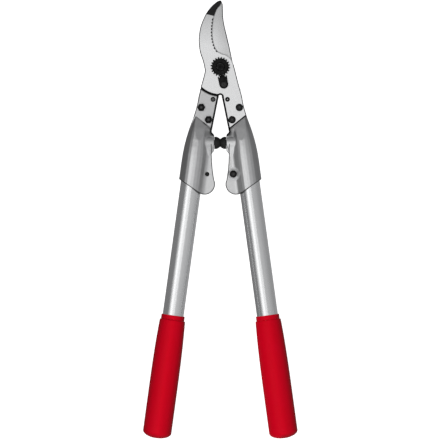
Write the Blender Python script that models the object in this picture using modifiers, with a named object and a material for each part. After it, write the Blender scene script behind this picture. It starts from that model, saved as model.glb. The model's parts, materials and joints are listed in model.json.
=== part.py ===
"""A two-handed bypass lopper, closed and lying flat with its blades along +Y.

Each side has a flat steel plate, a cast head with a tube socket, a tube and a grip. The two
sides are alike from the head down: the blade side is the hook side turned over about the
long axis. Sizes are in metres. Each side is modelled in its own frame, with the pivot at
the origin, +X towards its handle, +Y towards the tip and +Z away from the other plate.
"""

import math

import bmesh
import bpy
from mathutils import Matrix, Vector

# Fits
FIT_GAP = 0.0003
SLIDE_GAP = 0.0003

# Layers of the joint
PLATE_THICKNESS = 0.005
TONGUE_THICKNESS = 0.0058

# Run of the handles
HANDLE_LEAN = 7.8
HANDLE_OFFSET = 0.0184

# Pivot and its lock
PIVOT_RADIUS = 0.006
PIVOT_HEAD_RADIUS = 0.012
PIVOT_HEAD_HEIGHT = 0.0038
PIVOT_END_RECESS = 0.0006
NUT_TEETH = 20
NUT_TIP_RADIUS = 0.0138
NUT_ROOT_RADIUS = 0.0104
NUT_THICKNESS = 0.0046
SEGMENT_THICKNESS = 0.003
SEGMENT_BEARING = -78.6
SEGMENT_REACH = 0.0252
SEGMENT_END_RADIUS = 0.0063
SEGMENT_PRONG_SPREAD = 25.5
SEGMENT_PRONG_RADIUS = 0.0144
SEGMENT_SHOULDER_SPREAD = 24.5
SEGMENT_SHOULDER_RADIUS = 0.0158
SEGMENT_HOLLOW_SPREAD = 12.5
SEGMENT_HOLLOW_RADIUS = 0.0162
SEGMENT_MIDDLE_SPREAD = 3.5
SEGMENT_MESH_GAP = 0.0004
LOCK_SCREW_RADIUS = 0.0022
LOCK_HEAD_RADIUS = 0.0042
LOCK_HEAD_HEIGHT = 0.0024
LOCK_SCREW_RECESS = 0.0005

# Fork of the plates, round the pivot
HUB_RADIUS = 0.0188
FORK_RADIUS = 0.0398
FORK_CLEARANCE = 0.0019
FORK_CORNER_RADIUS = 0.0026
FORK_END_BEARING = 226.0

# Leg shared by plates and tongues
LEG_OUTER_EDGE = [(0.0188, 0.0034), (0.0218, -0.0079), (0.0246, -0.0193), (0.0276, -0.0306),
                  (0.0307, -0.0419), (0.0328, -0.0533), (0.0359, -0.0646), (0.0396, -0.0760),
                  (0.0440, -0.0880)]
LEG_INNER_TOP = (0.0026, -0.0430)
LEG_INNER_FOOT = (0.0123, -0.0920)
LEG_END_POINT = (0.0343, -0.0711)
LEG_END_SLOPE = 38.7
PLATE_CHAMFER = 0.0010

# Hook
HOOK_TIP_CENTRE = (-0.0004, 0.0918)
HOOK_TIP_RADIUS = 0.0023
HOOK_BACK_EDGE = [(-0.0221, -0.0079), (-0.0226, -0.0005), (-0.0249, 0.0091), (-0.0286, 0.0204),
                  (-0.0303, 0.0317), (-0.0304, 0.0410), (-0.0286, 0.0544), (-0.0248, 0.0657),
                  (-0.0192, 0.0771), (-0.0115, 0.0866), (-0.0041, 0.0929)]
HOOK_BEARING_EDGE = [(0.0016, 0.0906), (-0.0002, 0.0872), (-0.0050, 0.0813), (-0.0085, 0.0722),
                     (-0.0101, 0.0638), (-0.0110, 0.0560), (-0.0112, 0.0480), (-0.0106, 0.0395),
                     (-0.0092, 0.0327), (-0.0066, 0.0258), (-0.0030, 0.0213)]
HUB_START_BEARING = 82.0
HUB_END_BEARING = 29.0
NOTCH_COUNT = 11
NOTCH_RADIUS = 0.0011
NOTCH_INSET = 0.0004
NOTCH_PITCH = 0.00446
NOTCH_START = 0.0667
TIP_BEVEL_START = (-0.0094, 0.0721)
TIP_BEVEL_BEARING = 77.0
TIP_BEVEL_SLOPE = 7.0

# Blade, in the frame of the blade side
BLADE_TIP = (-0.0020, 0.0925)
BLADE_CUTTING_EDGE = [(0.0045, 0.0850), (0.0090, 0.0780), (0.0121, 0.0710), (0.0146, 0.0630),
                      (0.0158, 0.0540), (0.0158, 0.0460), (0.0149, 0.0380), (0.0128, 0.0310),
                      (0.0104, 0.0250), (0.0094, 0.0200)]
BLADE_HUB_START_BEARING = 61.0
BLADE_HUB_END_BEARING = 14.0
BLADE_SPINE = [(-0.0214, -0.0079), (-0.0184, 0.0034), (-0.0158, 0.0147), (-0.0135, 0.0261),
               (-0.0109, 0.0374), (-0.0082, 0.0487), (-0.0056, 0.0601), (-0.0040, 0.0714),
               (-0.0037, 0.0828), (-0.0034, 0.0890)]
BLADE_FORK_END_BEARING = 228.5
BLADE_GRIND_WIDTH = 0.0085
BLADE_EDGE_THICKNESS = 0.0006

# Cast head
SOCKET_WALL = 0.0027
NOSE_START = 0.139
NOSE_ARC = 0.235
NOSE_END = 0.0745
SOCKET_STOCK = 0.060
TONGUE_ROOT = 0.006
FLANGE_THICKNESS = 0.015
FLANGE_FILLET = 0.009
FLANGE_ROUND = 0.0016
INNER_EDGE_SPAN = 0.0122
INNER_EDGE_FOOT = [(0.0121, -0.1270), (0.0116, -0.1370), (0.0106, -0.1480)]
LOBE_CENTRE = (0.0222, -0.1663)
LOBE_RADIUS = 0.0148
LOBE_START_BEARING = 155.0
SOCKET_END_SLOPE = 34.8
FACET_SLOPE = 21.0
FACET_STEP = 0.0007
SLIT_WIDTH = 0.0012
SLIT_TOP = 0.135

# Handle tube and grip
TUBE_DIAMETER = 0.030
TUBE_WALL = 0.0016
TUBE_START = 0.130
TUBE_LENGTH = 0.400
GRIP_LENGTH = 0.176
GRIP_END_WALL = 0.0034
GRIP_COLLAR_WALL = 0.0013
GRIP_COLLAR_HEIGHT = 0.0058
GRIP_COLLAR_EASE = 0.0006
GRIP_GROOVE_WIDTH = 0.0014
GRIP_GROOVE_DEPTH = 0.0005
GRIP_THROAT_WALL = 0.0028
GRIP_PALM_WALL = 0.0050
GRIP_SWELL = 0.110
GRIP_CORNER = 0.006

# Buffers
BUFFER_DROP = 0.1077
BUFFER_RADIUS = 0.0087
BUFFER_FACE_RADIUS = 0.0048
BUFFER_LENGTH = 0.0084
BUFFER_RIM = 0.0034
BUFFER_BULGE = 1.5
BUFFER_STEM_RADIUS = 0.004
BUFFER_STEM_LENGTH = 0.006
BOSS_MARGIN = 0.0027
BOSS_TAPER = 0.0020
BOSS_SHOULDER = 0.0034
BOSS_INSET = 0.0031
BOSS_ROOT = 0.024
BOSS_FLATNESS = 0.85
BOSS_LIP = 0.0004

# Fasteners of the legs
UPPER_BOLT_PLACE = (0.0270, -0.0576)
LOWER_BOLT_PLACE = (0.01665, -0.0750)
LEG_BOLT_RADIUS = 0.003
LEG_BOLT_HEAD_RADIUS = 0.0053
LEG_BOLT_HEAD_HEIGHT = 0.0032
LEG_BOLT_TAIL = 0.0012
LEG_NUT_WIDTH = 0.010
LEG_NUT_HEIGHT = 0.0045
LEG_NUT_TURN = 30.0
SOCKET_WIDTH = 0.0040
SOCKET_DEPTH = 0.0018
RIVET_PLACE = (0.0102, -0.0461)
RIVET_RADIUS = 0.0024
RIVET_HEAD_RADIUS = 0.0034
RIVET_HEAD_HEIGHT = 0.0006
RIVET_BORE = 0.0007
SCREW_EASE = 0.3
NUT_EASE = 0.6
CLAMP_SCREW_PLACE = (0.0185, -0.1519)
CLAMP_SCREW_RADIUS = 0.0025
CLAMP_HEAD_RADIUS = 0.0053
CLAMP_HEAD_HEIGHT = 0.0042
CLAMP_SEAT_MARGIN = 0.0013
CLAMP_PAD_HEIGHT = 0.0025
CLAMP_PAD_TAPER = 0.0022
CLAMP_SCREW_RECESS = 0.0004

# Fineness of round shapes
ROUND_STEPS = 36
SMALL_STEPS = 16
SPAN_STEPS = 3
NOSE_STEPS = 6
WELD = 0.00001

# Cutters: how far they pass through a piece, and the side of the large ones
CUT_MARGIN = 0.005
CUT_SPAN = 0.080

# Heights shared by the layers, measured out from the plane between the plates
PLATE_LOW = SLIDE_GAP / 2
PLATE_TOP = PLATE_LOW + PLATE_THICKNESS
TONGUE_TOP = -FIT_GAP / 2
TONGUE_LOW = TONGUE_TOP - TONGUE_THICKNESS
TUBE_RADIUS = TUBE_DIAMETER / 2
SOCKET_RADIUS = TUBE_RADIUS + FIT_GAP + SOCKET_WALL
BOSS_RADIUS = BUFFER_RADIUS + BOSS_MARGIN
TUBE_END = TUBE_START + TUBE_LENGTH
GRIP_END = TUBE_END + FIT_GAP + GRIP_END_WALL
BOSS_FACE = FIT_GAP + BUFFER_LENGTH + BOSS_LIP
CLAMP_SEAT = FLANGE_THICKNESS / 2 + CLAMP_PAD_HEIGHT
SOCKET_END = NOSE_START + SOCKET_STOCK

BRIGHT_STEEL = ((0.72, 0.72, 0.73, 1), 0.28, 1.0)
CAST_ALUMINIUM = ((0.45, 0.46, 0.47, 1), 0.45, 1.0)
DRAWN_ALUMINIUM = ((0.70, 0.71, 0.72, 1), 0.30, 1.0)
BLACK_STEEL = ((0.03, 0.03, 0.03, 1), 0.45, 0.6)
BLACK_RUBBER = ((0.02, 0.02, 0.02, 1), 0.75, 0.0)
RED_PLASTIC = ((0.60, 0.004, 0.02, 1), 0.40, 0.0)


def polar(bearing, radius, centre=(0.0, 0.0)):
    """Point at a bearing in degrees, counted from +X towards +Y"""
    angle = math.radians(bearing)
    return (centre[0] + radius * math.cos(angle), centre[1] + radius * math.sin(angle))


def arc(start, end, radius, centre=(0.0, 0.0), steps=12):
    """Points along an arc between two bearings"""
    return [polar(start + (end - start) * i / steps, radius, centre) for i in range(steps + 1)]


def smooth(points, steps=SPAN_STEPS):
    """Points of the even curve that runs through the given ones"""
    ends = [points[0]] + list(points) + [points[-1]]
    curve = []
    for before, start, end, after in zip(ends, ends[1:], ends[2:], ends[3:]):
        for i in range(steps):
            t = i / steps
            curve.append(tuple(
                0.5 * (2 * b + (c - a) * t + (2 * a - 5 * b + 4 * c - d) * t ** 2
                       + (3 * b - a - 3 * c + d) * t ** 3)
                for a, b, c, d in zip(before, start, end, after)))
    curve.append(tuple(points[-1]))
    return curve


def keep_above(outline, point, slope):
    """The part of a closed outline that lies above a sloped line"""
    normal = Vector(polar(slope + 90, 1.0))
    heights = [(Vector(p) - Vector(point)).dot(normal) for p in outline]
    kept = []
    for i, here in enumerate(outline):
        follow = (i + 1) % len(outline)
        if heights[i] >= 0:
            kept.append(here)
        if (heights[i] >= 0) != (heights[follow] >= 0):
            share = heights[i] / (heights[i] - heights[follow])
            kept.append(tuple(Vector(here).lerp(Vector(outline[follow]), share)))
    return kept


def clear_scene():
    for obj in list(bpy.data.objects):
        bpy.data.objects.remove(obj)


def new_collection(name):
    collection = bpy.data.collections.new(name)
    bpy.context.scene.collection.children.link(collection)
    return collection


def new_object(name, data, collection, parent=None, location=(0, 0, 0), rotation=(0, 0, 0)):
    obj = bpy.data.objects.new(name, data)
    collection.objects.link(obj)
    obj.parent = parent
    obj.location = location
    obj.rotation_euler = rotation
    return obj


def settle(obj):
    """The object's mesh with its modifiers applied; the object is removed"""
    bpy.context.view_layer.update()
    depsgraph = bpy.context.evaluated_depsgraph_get()
    mesh = bpy.data.meshes.new_from_object(obj.evaluated_get(depsgraph))
    bpy.data.objects.remove(obj)
    return mesh


def finish_bmesh(bm, name):
    mesh = bpy.data.meshes.new(name)
    bm.to_mesh(mesh)
    bm.free()
    return mesh


def flat_piece(outline, low, high):
    """Flat piece cut to an outline, between two heights"""
    curve = bpy.data.curves.new("outline", "CURVE")
    curve.dimensions = "2D"
    curve.fill_mode = "BOTH"
    curve.extrude = (high - low) / 2
    spline = curve.splines.new("POLY")
    spline.points.add(len(outline) - 1)
    for place, (x, y) in zip(spline.points, outline):
        place.co = (x, y, 0, 1)
    spline.use_cyclic_u = True
    mesh = settle(new_object("outline", curve, bpy.context.scene.collection))
    bpy.data.curves.remove(curve)
    bm = bmesh.new()
    bm.from_mesh(mesh)
    bpy.data.meshes.remove(mesh)
    bmesh.ops.remove_doubles(bm, verts=bm.verts, dist=WELD)
    bmesh.ops.dissolve_limit(bm, angle_limit=math.radians(0.5), verts=bm.verts, edges=bm.edges)
    bmesh.ops.recalc_face_normals(bm, faces=bm.faces)
    bmesh.ops.translate(bm, verts=bm.verts, vec=(0, 0, (low + high) / 2))
    return finish_bmesh(bm, "flat_piece")


def turned(profile, steps=ROUND_STEPS, closed=False):
    """Round piece about Z from a profile of (radius, height), listed down its outer side"""
    bm = bmesh.new()
    corners = [bm.verts.new((radius, 0, height)) for radius, height in profile]
    for start, end in zip(corners, corners[1:]):
        bm.edges.new((start, end))
    if closed:
        bm.edges.new((corners[-1], corners[0]))
    obj = new_object("profile", finish_bmesh(bm, "profile"), bpy.context.scene.collection)
    screw = obj.modifiers.new("turn", "SCREW")
    screw.steps = steps
    screw.render_steps = steps
    screw.use_merge_vertices = True
    screw.merge_threshold = WELD
    return settle(obj)


def drum(radius, low, high, places=((0, 0),), steps=SMALL_STEPS, end_radius=None):
    """Upright cylinders or cones, one at each place"""
    bm = bmesh.new()
    for x, y in places:
        bmesh.ops.create_cone(
            bm, cap_ends=True, segments=steps, radius1=radius,
            radius2=radius if end_radius is None else end_radius, depth=high - low,
            matrix=Matrix.Translation((x, y, (low + high) / 2)))
    return finish_bmesh(bm, "drum")


def block(low, high):
    """Box between two corners"""
    size = Vector(high) - Vector(low)
    middle = (Vector(high) + Vector(low)) / 2
    bm = bmesh.new()
    bmesh.ops.create_cube(bm, size=1, matrix=Matrix.Translation(middle) @ Matrix.Diagonal((*size, 1)))
    return finish_bmesh(bm, "block")


def loft(sections, name="loft"):
    """Closed skin over a row of sections that have the same number of points"""
    bm = bmesh.new()
    rings = [[bm.verts.new(point) for point in section] for section in sections]
    for near, far in zip(rings, rings[1:]):
        for i in range(len(near)):
            j = (i + 1) % len(near)
            bm.faces.new((near[i], near[j], far[j], far[i]))
    bm.faces.new(rings[0])
    bm.faces.new(rings[-1])
    bmesh.ops.recalc_face_normals(bm, faces=bm.faces)
    return finish_bmesh(bm, name)


def moved(mesh, matrix):
    mesh.transform(matrix)
    return mesh


def carve(mesh, tools, cutters, frame, operation="DIFFERENCE"):
    """Cut a mesh with the named tools, or join or trim it; the tools stay as guides"""
    obj = new_object("blank", mesh, bpy.context.scene.collection, frame)
    for name, tool in tools.items():
        guide = new_object(name, tool, cutters, frame)
        guide.hide_render = True
        guide.display_type = "WIRE"
        boolean = obj.modifiers.new(name, "BOOLEAN")
        boolean.operation = operation
        boolean.object = guide
    return settle(obj)


def round_rim(mesh, level, width, segments, sides=(1, -1), path=None):
    """Round the outer edges of the flat faces at a height, on one or both sides.

    Where a path is given, only the edges between its points are rounded."""
    bm = bmesh.new()
    bm.from_mesh(mesh)
    rim = []
    for edge in bm.edges:
        if len(edge.link_faces) != 2:
            continue
        at_level = any(all(abs(v.co.z - side * level) < WELD for v in edge.verts) for side in sides)
        tilts = sorted(abs(face.normal.z) for face in edge.link_faces)
        on_path = not path or all(
            any((Vector(point) - v.co.xy).length < WELD for point in path) for v in edge.verts)
        if at_level and on_path and tilts[0] < 0.1 and tilts[1] > 0.9:
            rim.append(edge)
    bmesh.ops.bevel(bm, geom=rim, offset=width, segments=segments, affect="EDGES", profile=0.5,
                    material=-1, clamp_overlap=True)
    bmesh.ops.recalc_face_normals(bm, faces=bm.faces)
    return finish_bmesh(bm, "rounded")


def paint(obj, finish):
    """Give the object a material of its own"""
    colour, roughness, metallic = finish
    material = bpy.data.materials.new(obj.name + "_finish")
    material.use_nodes = True
    shader = material.node_tree.nodes["Principled BSDF"]
    shader.inputs["Base Color"].default_value = colour
    shader.inputs["Roughness"].default_value = roughness
    shader.inputs["Metallic"].default_value = metallic
    if not obj.data.materials:
        obj.data.materials.append(None)
    obj.material_slots[0].link = "OBJECT"
    obj.material_slots[0].material = material


def handle_matrix():
    """Frame of a handle: on its axis beside the pivot, with Z up the axis and X outwards"""
    lean = math.radians(HANDLE_LEAN)
    turn = Matrix.Rotation(lean, 4, "Z") @ Matrix.Rotation(-math.pi / 2, 4, "X")
    foot = Vector((HANDLE_OFFSET * math.cos(lean), HANDLE_OFFSET * math.sin(lean), 0))
    return Matrix.Translation(foot) @ turn


def fork_outline(end_bearing, radius=FORK_RADIUS):
    """Inner edge of the leg, round corner and arc under the pivot, from the leg's foot"""
    corner_centre = (LEG_INNER_TOP[0] - FORK_CORNER_RADIUS, -radius - FORK_CORNER_RADIUS)
    corner = arc(8, 90, FORK_CORNER_RADIUS, corner_centre, 5)
    return [LEG_INNER_FOOT] + corner + arc(269, end_bearing, radius, steps=12)


def hook_outline():
    tip = arc(118, -24, HOOK_TIP_RADIUS, HOOK_TIP_CENTRE, 6)
    bearing = smooth(HOOK_BEARING_EDGE)
    hub = arc(HUB_START_BEARING, HUB_END_BEARING, HUB_RADIUS, steps=8)
    fork = fork_outline(FORK_END_BEARING)
    back = smooth([fork[-1]] + HOOK_BACK_EDGE)
    outline = tip + bearing + hub + smooth(LEG_OUTER_EDGE) + fork[:-1] + back
    return keep_above(outline, leg_end_point(FIT_GAP), LEG_END_SLOPE)


def leg_end_point(gap):
    """Point on the line where a plate meets its head, lifted by a gap"""
    return polar(LEG_END_SLOPE + 90, gap, LEG_END_POINT)


def blade_outline():
    edge = smooth([BLADE_TIP] + BLADE_CUTTING_EDGE)
    hub = arc(BLADE_HUB_START_BEARING, BLADE_HUB_END_BEARING, HUB_RADIUS, steps=8)
    fork = fork_outline(BLADE_FORK_END_BEARING)
    spine = smooth([fork[-1]] + BLADE_SPINE)
    outline = edge + hub + smooth(LEG_OUTER_EDGE) + fork[:-1] + spine
    return keep_above(outline, leg_end_point(FIT_GAP), LEG_END_SLOPE), spine


def notch_places():
    """Centres of the notches, one pitch apart down the bearing edge"""
    edge = [Vector(p) for p in smooth(HOOK_BEARING_EDGE, 24)]
    edge = [p for p in edge if p.y <= NOTCH_START]
    places = []
    run = NOTCH_PITCH
    for start, end in zip(edge, edge[1:]):
        if run >= NOTCH_PITCH and len(places) < NOTCH_COUNT:
            along = (end - start).normalized()
            places.append(tuple(start + NOTCH_INSET * Vector((along.y, -along.x))))
            run = 0.0
        run += (end - start).length
    return places


def hole_cutters():
    """Holes that the plates and the tongues share"""
    low, high = TONGUE_LOW - CUT_SPAN / 2, PLATE_TOP + CUT_MARGIN
    return {
        "leg_bolt_holes": drum(LEG_BOLT_RADIUS + FIT_GAP, low, high,
                               (UPPER_BOLT_PLACE, LOWER_BOLT_PLACE)),
        "rivet_hole": drum(RIVET_RADIUS + FIT_GAP, low, high, (RIVET_PLACE,)),
    }


def pivot_hole():
    return drum(PIVOT_RADIUS + FIT_GAP, PLATE_LOW - CUT_MARGIN, PLATE_TOP + CUT_MARGIN,
                steps=ROUND_STEPS)


def lock_place():
    return polar(SEGMENT_BEARING, SEGMENT_REACH)


def tip_bevel():
    """Wedge over the hook's tip, which thins it towards its end"""
    wedge = block((0, -CUT_SPAN / 2, 0), (CUT_SPAN, CUT_SPAN / 2, CUT_SPAN / 4))
    place = Matrix.Translation((*TIP_BEVEL_START, PLATE_TOP))
    heading = Matrix.Rotation(math.radians(TIP_BEVEL_BEARING), 4, "Z")
    return moved(wedge, place @ heading @ Matrix.Rotation(math.radians(TIP_BEVEL_SLOPE), 4, "Y"))


def hook_plate(cutters, frame):
    low, high = PLATE_LOW - CUT_MARGIN, PLATE_TOP + CUT_MARGIN
    mesh = round_rim(flat_piece(hook_outline(), PLATE_LOW, PLATE_TOP), PLATE_TOP, PLATE_CHAMFER, 1,
                     (1,))
    tools = hole_cutters()
    tools["hook_pivot_hole"] = pivot_hole()
    tools["lock_screw_hole"] = drum(LOCK_SCREW_RADIUS + FIT_GAP, low, high, (lock_place(),))
    tools["bearing_notches"] = drum(NOTCH_RADIUS, low, high, notch_places(), SMALL_STEPS // 2)
    tools["tip_bevel"] = tip_bevel()
    return carve(mesh, tools, cutters, frame)


def grind():
    """Solid that grinds the blade down to its edge, on the outer face"""
    edge = [Vector(p) for p in smooth([BLADE_TIP] + BLADE_CUTTING_EDGE[:-1])]
    depth = PLATE_THICKNESS - BLADE_EDGE_THICKNESS
    outer_low = PLATE_TOP - depth * (1 + CUT_MARGIN / BLADE_GRIND_WIDTH)
    high = PLATE_TOP + CUT_MARGIN
    sections = []
    for i, place in enumerate(edge):
        run = (edge[min(i + 1, len(edge) - 1)] - edge[max(i - 1, 0)]).normalized()
        out = Vector((-run.y, run.x))
        inner = place - out * BLADE_GRIND_WIDTH
        outer = place + out * CUT_MARGIN
        sections.append([(*inner, PLATE_TOP), (*inner, high), (*outer, high), (*outer, outer_low)])
    return loft(sections)


def blade_plate(cutters, frame):
    outline, spine = blade_outline()
    mesh = round_rim(flat_piece(outline, PLATE_LOW, PLATE_TOP), PLATE_TOP, PLATE_CHAMFER, 1, (1,))
    mesh = round_rim(mesh, PLATE_LOW, PLATE_CHAMFER, 1, (1,), spine)
    tools = {"blade_" + name: tool for name, tool in hole_cutters().items()}
    tools["blade_pivot_hole"] = pivot_hole()
    tools["edge_grind"] = grind()
    return carve(mesh, tools, cutters, frame)


def nose_radius(drop):
    """Radius of the cast body at a distance down the handle"""
    rise = max(NOSE_START - drop, 0.0)
    return SOCKET_RADIUS - NOSE_ARC + math.sqrt(NOSE_ARC ** 2 - rise ** 2)


def head_section(drop):
    """Round body with a flange on its inner side, in the handle's frame"""
    body = nose_radius(drop)
    half = FLANGE_THICKNESS / 2
    reach = math.sqrt(max((body + FLANGE_FILLET) ** 2 - (half + FLANGE_FILLET) ** 2, WELD ** 2))
    meet = math.degrees(math.atan2(half + FLANGE_FILLET, -reach))
    upper = arc(0, meet, body, steps=10)
    upper += arc(meet - 180, -90, FLANGE_FILLET, (-reach, half + FLANGE_FILLET), 4)[1:]
    upper.append((-CUT_SPAN, half))
    lower = [(x, -y) for x, y in reversed(upper[1:])]
    return [(x, y, -drop) for x, y in upper + lower]


def head_trim():
    """Outline that trims the cast body: top slope, inner edge, boss, clamp lobe and lower end"""
    half = BOSS_RADIUS + BOSS_LIP
    shoulder = half + BOSS_SHOULDER
    boss = [(BOSS_FACE + BOSS_INSET, -BUFFER_DROP + shoulder), (BOSS_FACE, -BUFFER_DROP + half),
            (BOSS_FACE, -BUFFER_DROP - half)]
    lobe = arc(LOBE_START_BEARING, SOCKET_END_SLOPE + 270, LOBE_RADIUS, LOBE_CENTRE, 16)
    foot = [(BOSS_FACE + BOSS_INSET, -BUFFER_DROP - shoulder)]
    foot += [p for p in INNER_EDGE_FOOT if p[1] < foot[0][1] - BOSS_SHOULDER / 2]
    far = (INNER_EDGE_SPAN + CUT_SPAN, 0.0)
    outline = [far, (INNER_EDGE_SPAN, 0.0)] + boss + smooth(foot + [lobe[0]])[:-1] + lobe
    outline.append(polar(SOCKET_END_SLOPE, CUT_SPAN, lobe[-1]))
    return keep_above(outline, LEG_END_POINT, LEG_END_SLOPE + 180)


def facet(side):
    """Wedge over the sloped flat that runs down from the top edge of the head"""
    wedge = block((-CUT_SPAN, -CUT_SPAN, 0), (CUT_SPAN, CUT_MARGIN, CUT_SPAN / 2))
    mirror = Matrix.Diagonal((1, 1, side, 1))
    place = Matrix.Translation((*LEG_END_POINT, FACET_STEP - TONGUE_LOW))
    heading = Matrix.Rotation(math.radians(LEG_END_SLOPE), 4, "Z")
    tilt = Matrix.Rotation(-math.radians(FACET_SLOPE), 4, "X")
    mesh = moved(wedge, mirror @ place @ heading @ tilt)
    if side < 0:
        mesh.flip_normals()
    return mesh


def tongue():
    """Flat tongue of the head, under its plate"""
    arc_edge = fork_outline(FORK_END_BEARING, FORK_RADIUS + FORK_CLEARANCE)
    mirrored = [(-x, y) for x, y in arc(268, FORK_END_BEARING + 1, FORK_RADIUS + FORK_CLEARANCE)]
    outer = [p for p in smooth(LEG_OUTER_EDGE) if p[1] < mirrored[-1][1] - FIT_GAP]
    foot = [(outer[-1][0] - TONGUE_ROOT, outer[-1][1]), LEG_INNER_FOOT]
    inner = arc_edge[1:2]
    return flat_piece(inner + mirrored + outer + foot, TONGUE_LOW, TONGUE_TOP)


def plate_room():
    """Block over the tongue, where the plate's foot lies"""
    room = block((-CUT_SPAN, 0, 0), (CUT_SPAN, CUT_SPAN, CUT_SPAN / 4))
    heading = Matrix.Rotation(math.radians(LEG_END_SLOPE), 4, "Z")
    return moved(room, Matrix.Translation((*leg_end_point(FIT_GAP / 2), 0)) @ heading)


def head(cutters, frame):
    """Cast head, with the tube's axis leaning out from the plate"""
    to_leg = handle_matrix()
    drops = [NOSE_END + (NOSE_START - NOSE_END) * i / NOSE_STEPS for i in range(NOSE_STEPS + 1)]
    body = moved(loft([head_section(drop) for drop in drops + [SOCKET_END]]), to_leg)
    trim = flat_piece(head_trim(), -CUT_SPAN / 2, CUT_SPAN / 2)
    mesh = carve(body, {"head_trim": trim}, cutters, frame, "INTERSECT")
    mesh = round_rim(mesh, FLANGE_THICKNESS / 2, FLANGE_ROUND, 2)
    mesh = carve(mesh, {"head_facet_front": facet(1), "head_facet_back": facet(-1)}, cutters, frame)
    to_buffer = Matrix.Translation((0, -BUFFER_DROP, 0)) @ Matrix.Rotation(math.pi / 2, 4, "Y")
    boss = moved(drum(BOSS_RADIUS, BOSS_FACE - BOSS_LIP, BOSS_ROOT, steps=ROUND_STEPS,
                      end_radius=BOSS_RADIUS + BOSS_TAPER),
                 to_buffer @ Matrix.Diagonal((BOSS_FLATNESS, 1, 1, 1)))
    seat_radius = CLAMP_HEAD_RADIUS + CLAMP_SEAT_MARGIN
    pad = drum(seat_radius + CLAMP_PAD_TAPER, 0, CLAMP_SEAT + FIT_GAP, (CLAMP_SCREW_PLACE,), ROUND_STEPS,
               seat_radius - FIT_GAP)
    mesh = carve(mesh, {"tongue": tongue(), "buffer_boss": boss, "clamp_pad": pad}, cutters, frame,
                 "UNION")
    tools = {"head_" + name: tool for name, tool in hole_cutters().items()}
    tools["plate_room"] = plate_room()
    tools["tube_socket"] = moved(drum(TUBE_RADIUS + FIT_GAP, -SOCKET_END - CUT_MARGIN,
                                      -TUBE_START + FIT_GAP, steps=ROUND_STEPS), to_leg)
    tools["clamp_slit"] = moved(block((-CUT_SPAN, -SLIT_WIDTH / 2, -SOCKET_END - CUT_MARGIN),
                                      (-TUBE_RADIUS / 3, SLIT_WIDTH / 2, -SLIT_TOP)), to_leg)
    high = SOCKET_RADIUS + CUT_MARGIN
    tools["clamp_screw_hole"] = drum(CLAMP_SCREW_RADIUS + FIT_GAP, -high, high, (CLAMP_SCREW_PLACE,))
    tools["clamp_screw_seat"] = drum(seat_radius, CLAMP_SEAT, high, (CLAMP_SCREW_PLACE,), ROUND_STEPS)
    tools["buffer_hole"] = moved(
        drum(BUFFER_STEM_RADIUS + FIT_GAP, BOSS_FACE - CUT_MARGIN,
             BOSS_FACE + BUFFER_STEM_LENGTH + FIT_GAP), to_buffer)
    return carve(mesh, tools, cutters, frame)


def socket_screw(shank, length, head_radius, head_height, cutters, frame, name):
    """Round-headed screw with a six-sided socket; its head stands on the plane z = 0"""
    ease = head_height * SCREW_EASE
    profile = [(0, head_height), (head_radius - ease, head_height),
               (head_radius - ease / 3, head_height - ease / 3), (head_radius, head_height - ease),
               (head_radius, 0), (shank, 0), (shank, ease - length), (shank - ease / 2, -length),
               (0, -length)]
    socket = drum(SOCKET_WIDTH / math.sqrt(3), head_height - SOCKET_DEPTH, head_height + CUT_MARGIN,
                  steps=6)
    return carve(turned(profile, SMALL_STEPS), {name + "_socket": socket}, cutters, frame)


def hex_nut(width, height, bore, cutters, frame):
    """Six-sided nut with turned corners; its lower face is the plane z = 0"""
    corner = width / math.sqrt(3)
    ease = (corner - width / 2) * NUT_EASE
    ring = turned([(width / 2, height), (corner, height - ease), (corner, ease), (width / 2, 0),
                   (bore, 0), (bore, height)], ROUND_STEPS - ROUND_STEPS // 3, closed=True)
    prism = drum(corner - WELD, -CUT_MARGIN, height + CUT_MARGIN, steps=6)
    return carve(ring, {"nut_flats": prism}, cutters, frame, "INTERSECT")


def rivet():
    """Hollow rivet with a flat head on each side"""
    top = PLATE_TOP + FIT_GAP
    low = TONGUE_LOW - FIT_GAP
    return turned([(RIVET_BORE, top + RIVET_HEAD_HEIGHT), (RIVET_HEAD_RADIUS, top + RIVET_HEAD_HEIGHT),
                   (RIVET_HEAD_RADIUS, top), (RIVET_RADIUS, top), (RIVET_RADIUS, low),
                   (RIVET_HEAD_RADIUS, low), (RIVET_HEAD_RADIUS, low - RIVET_HEAD_HEIGHT),
                   (RIVET_BORE, low - RIVET_HEAD_HEIGHT)], SMALL_STEPS, closed=True)


def tube():
    outer = TUBE_RADIUS
    inner = TUBE_RADIUS - TUBE_WALL
    return turned([(outer, -TUBE_START), (outer, -TUBE_END), (inner, -TUBE_END), (inner, -TUBE_START)],
                  closed=True)


def grip():
    """Moulded grip: thin collar, throat and a slow swell to the palm, with a closed end"""
    bore = TUBE_RADIUS + FIT_GAP
    top = -(GRIP_END - GRIP_LENGTH)
    collar = bore + GRIP_COLLAR_WALL
    throat = bore + GRIP_THROAT_WALL
    palm = bore + GRIP_PALM_WALL
    groove = top - GRIP_COLLAR_HEIGHT
    outer = [(collar - GRIP_COLLAR_EASE, top), (collar, top - GRIP_COLLAR_EASE), (collar, groove),
             (collar - GRIP_GROOVE_DEPTH, groove - GRIP_GROOVE_WIDTH / 2)]
    start = groove - GRIP_GROOVE_WIDTH
    for i in range(7):
        share = i / 6
        ease = 1 - (1 - share) ** 3
        outer.append((throat + (palm - throat) * ease, start - GRIP_SWELL * share))
    outer += arc(0, -90, GRIP_CORNER, (palm - GRIP_CORNER, -GRIP_END + GRIP_CORNER), 5)
    outer.append((0, -GRIP_END))
    inner = [(0, -TUBE_END - FIT_GAP), (bore, -TUBE_END - FIT_GAP), (bore, top)]
    return turned(outer + inner + [outer[0]])


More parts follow.
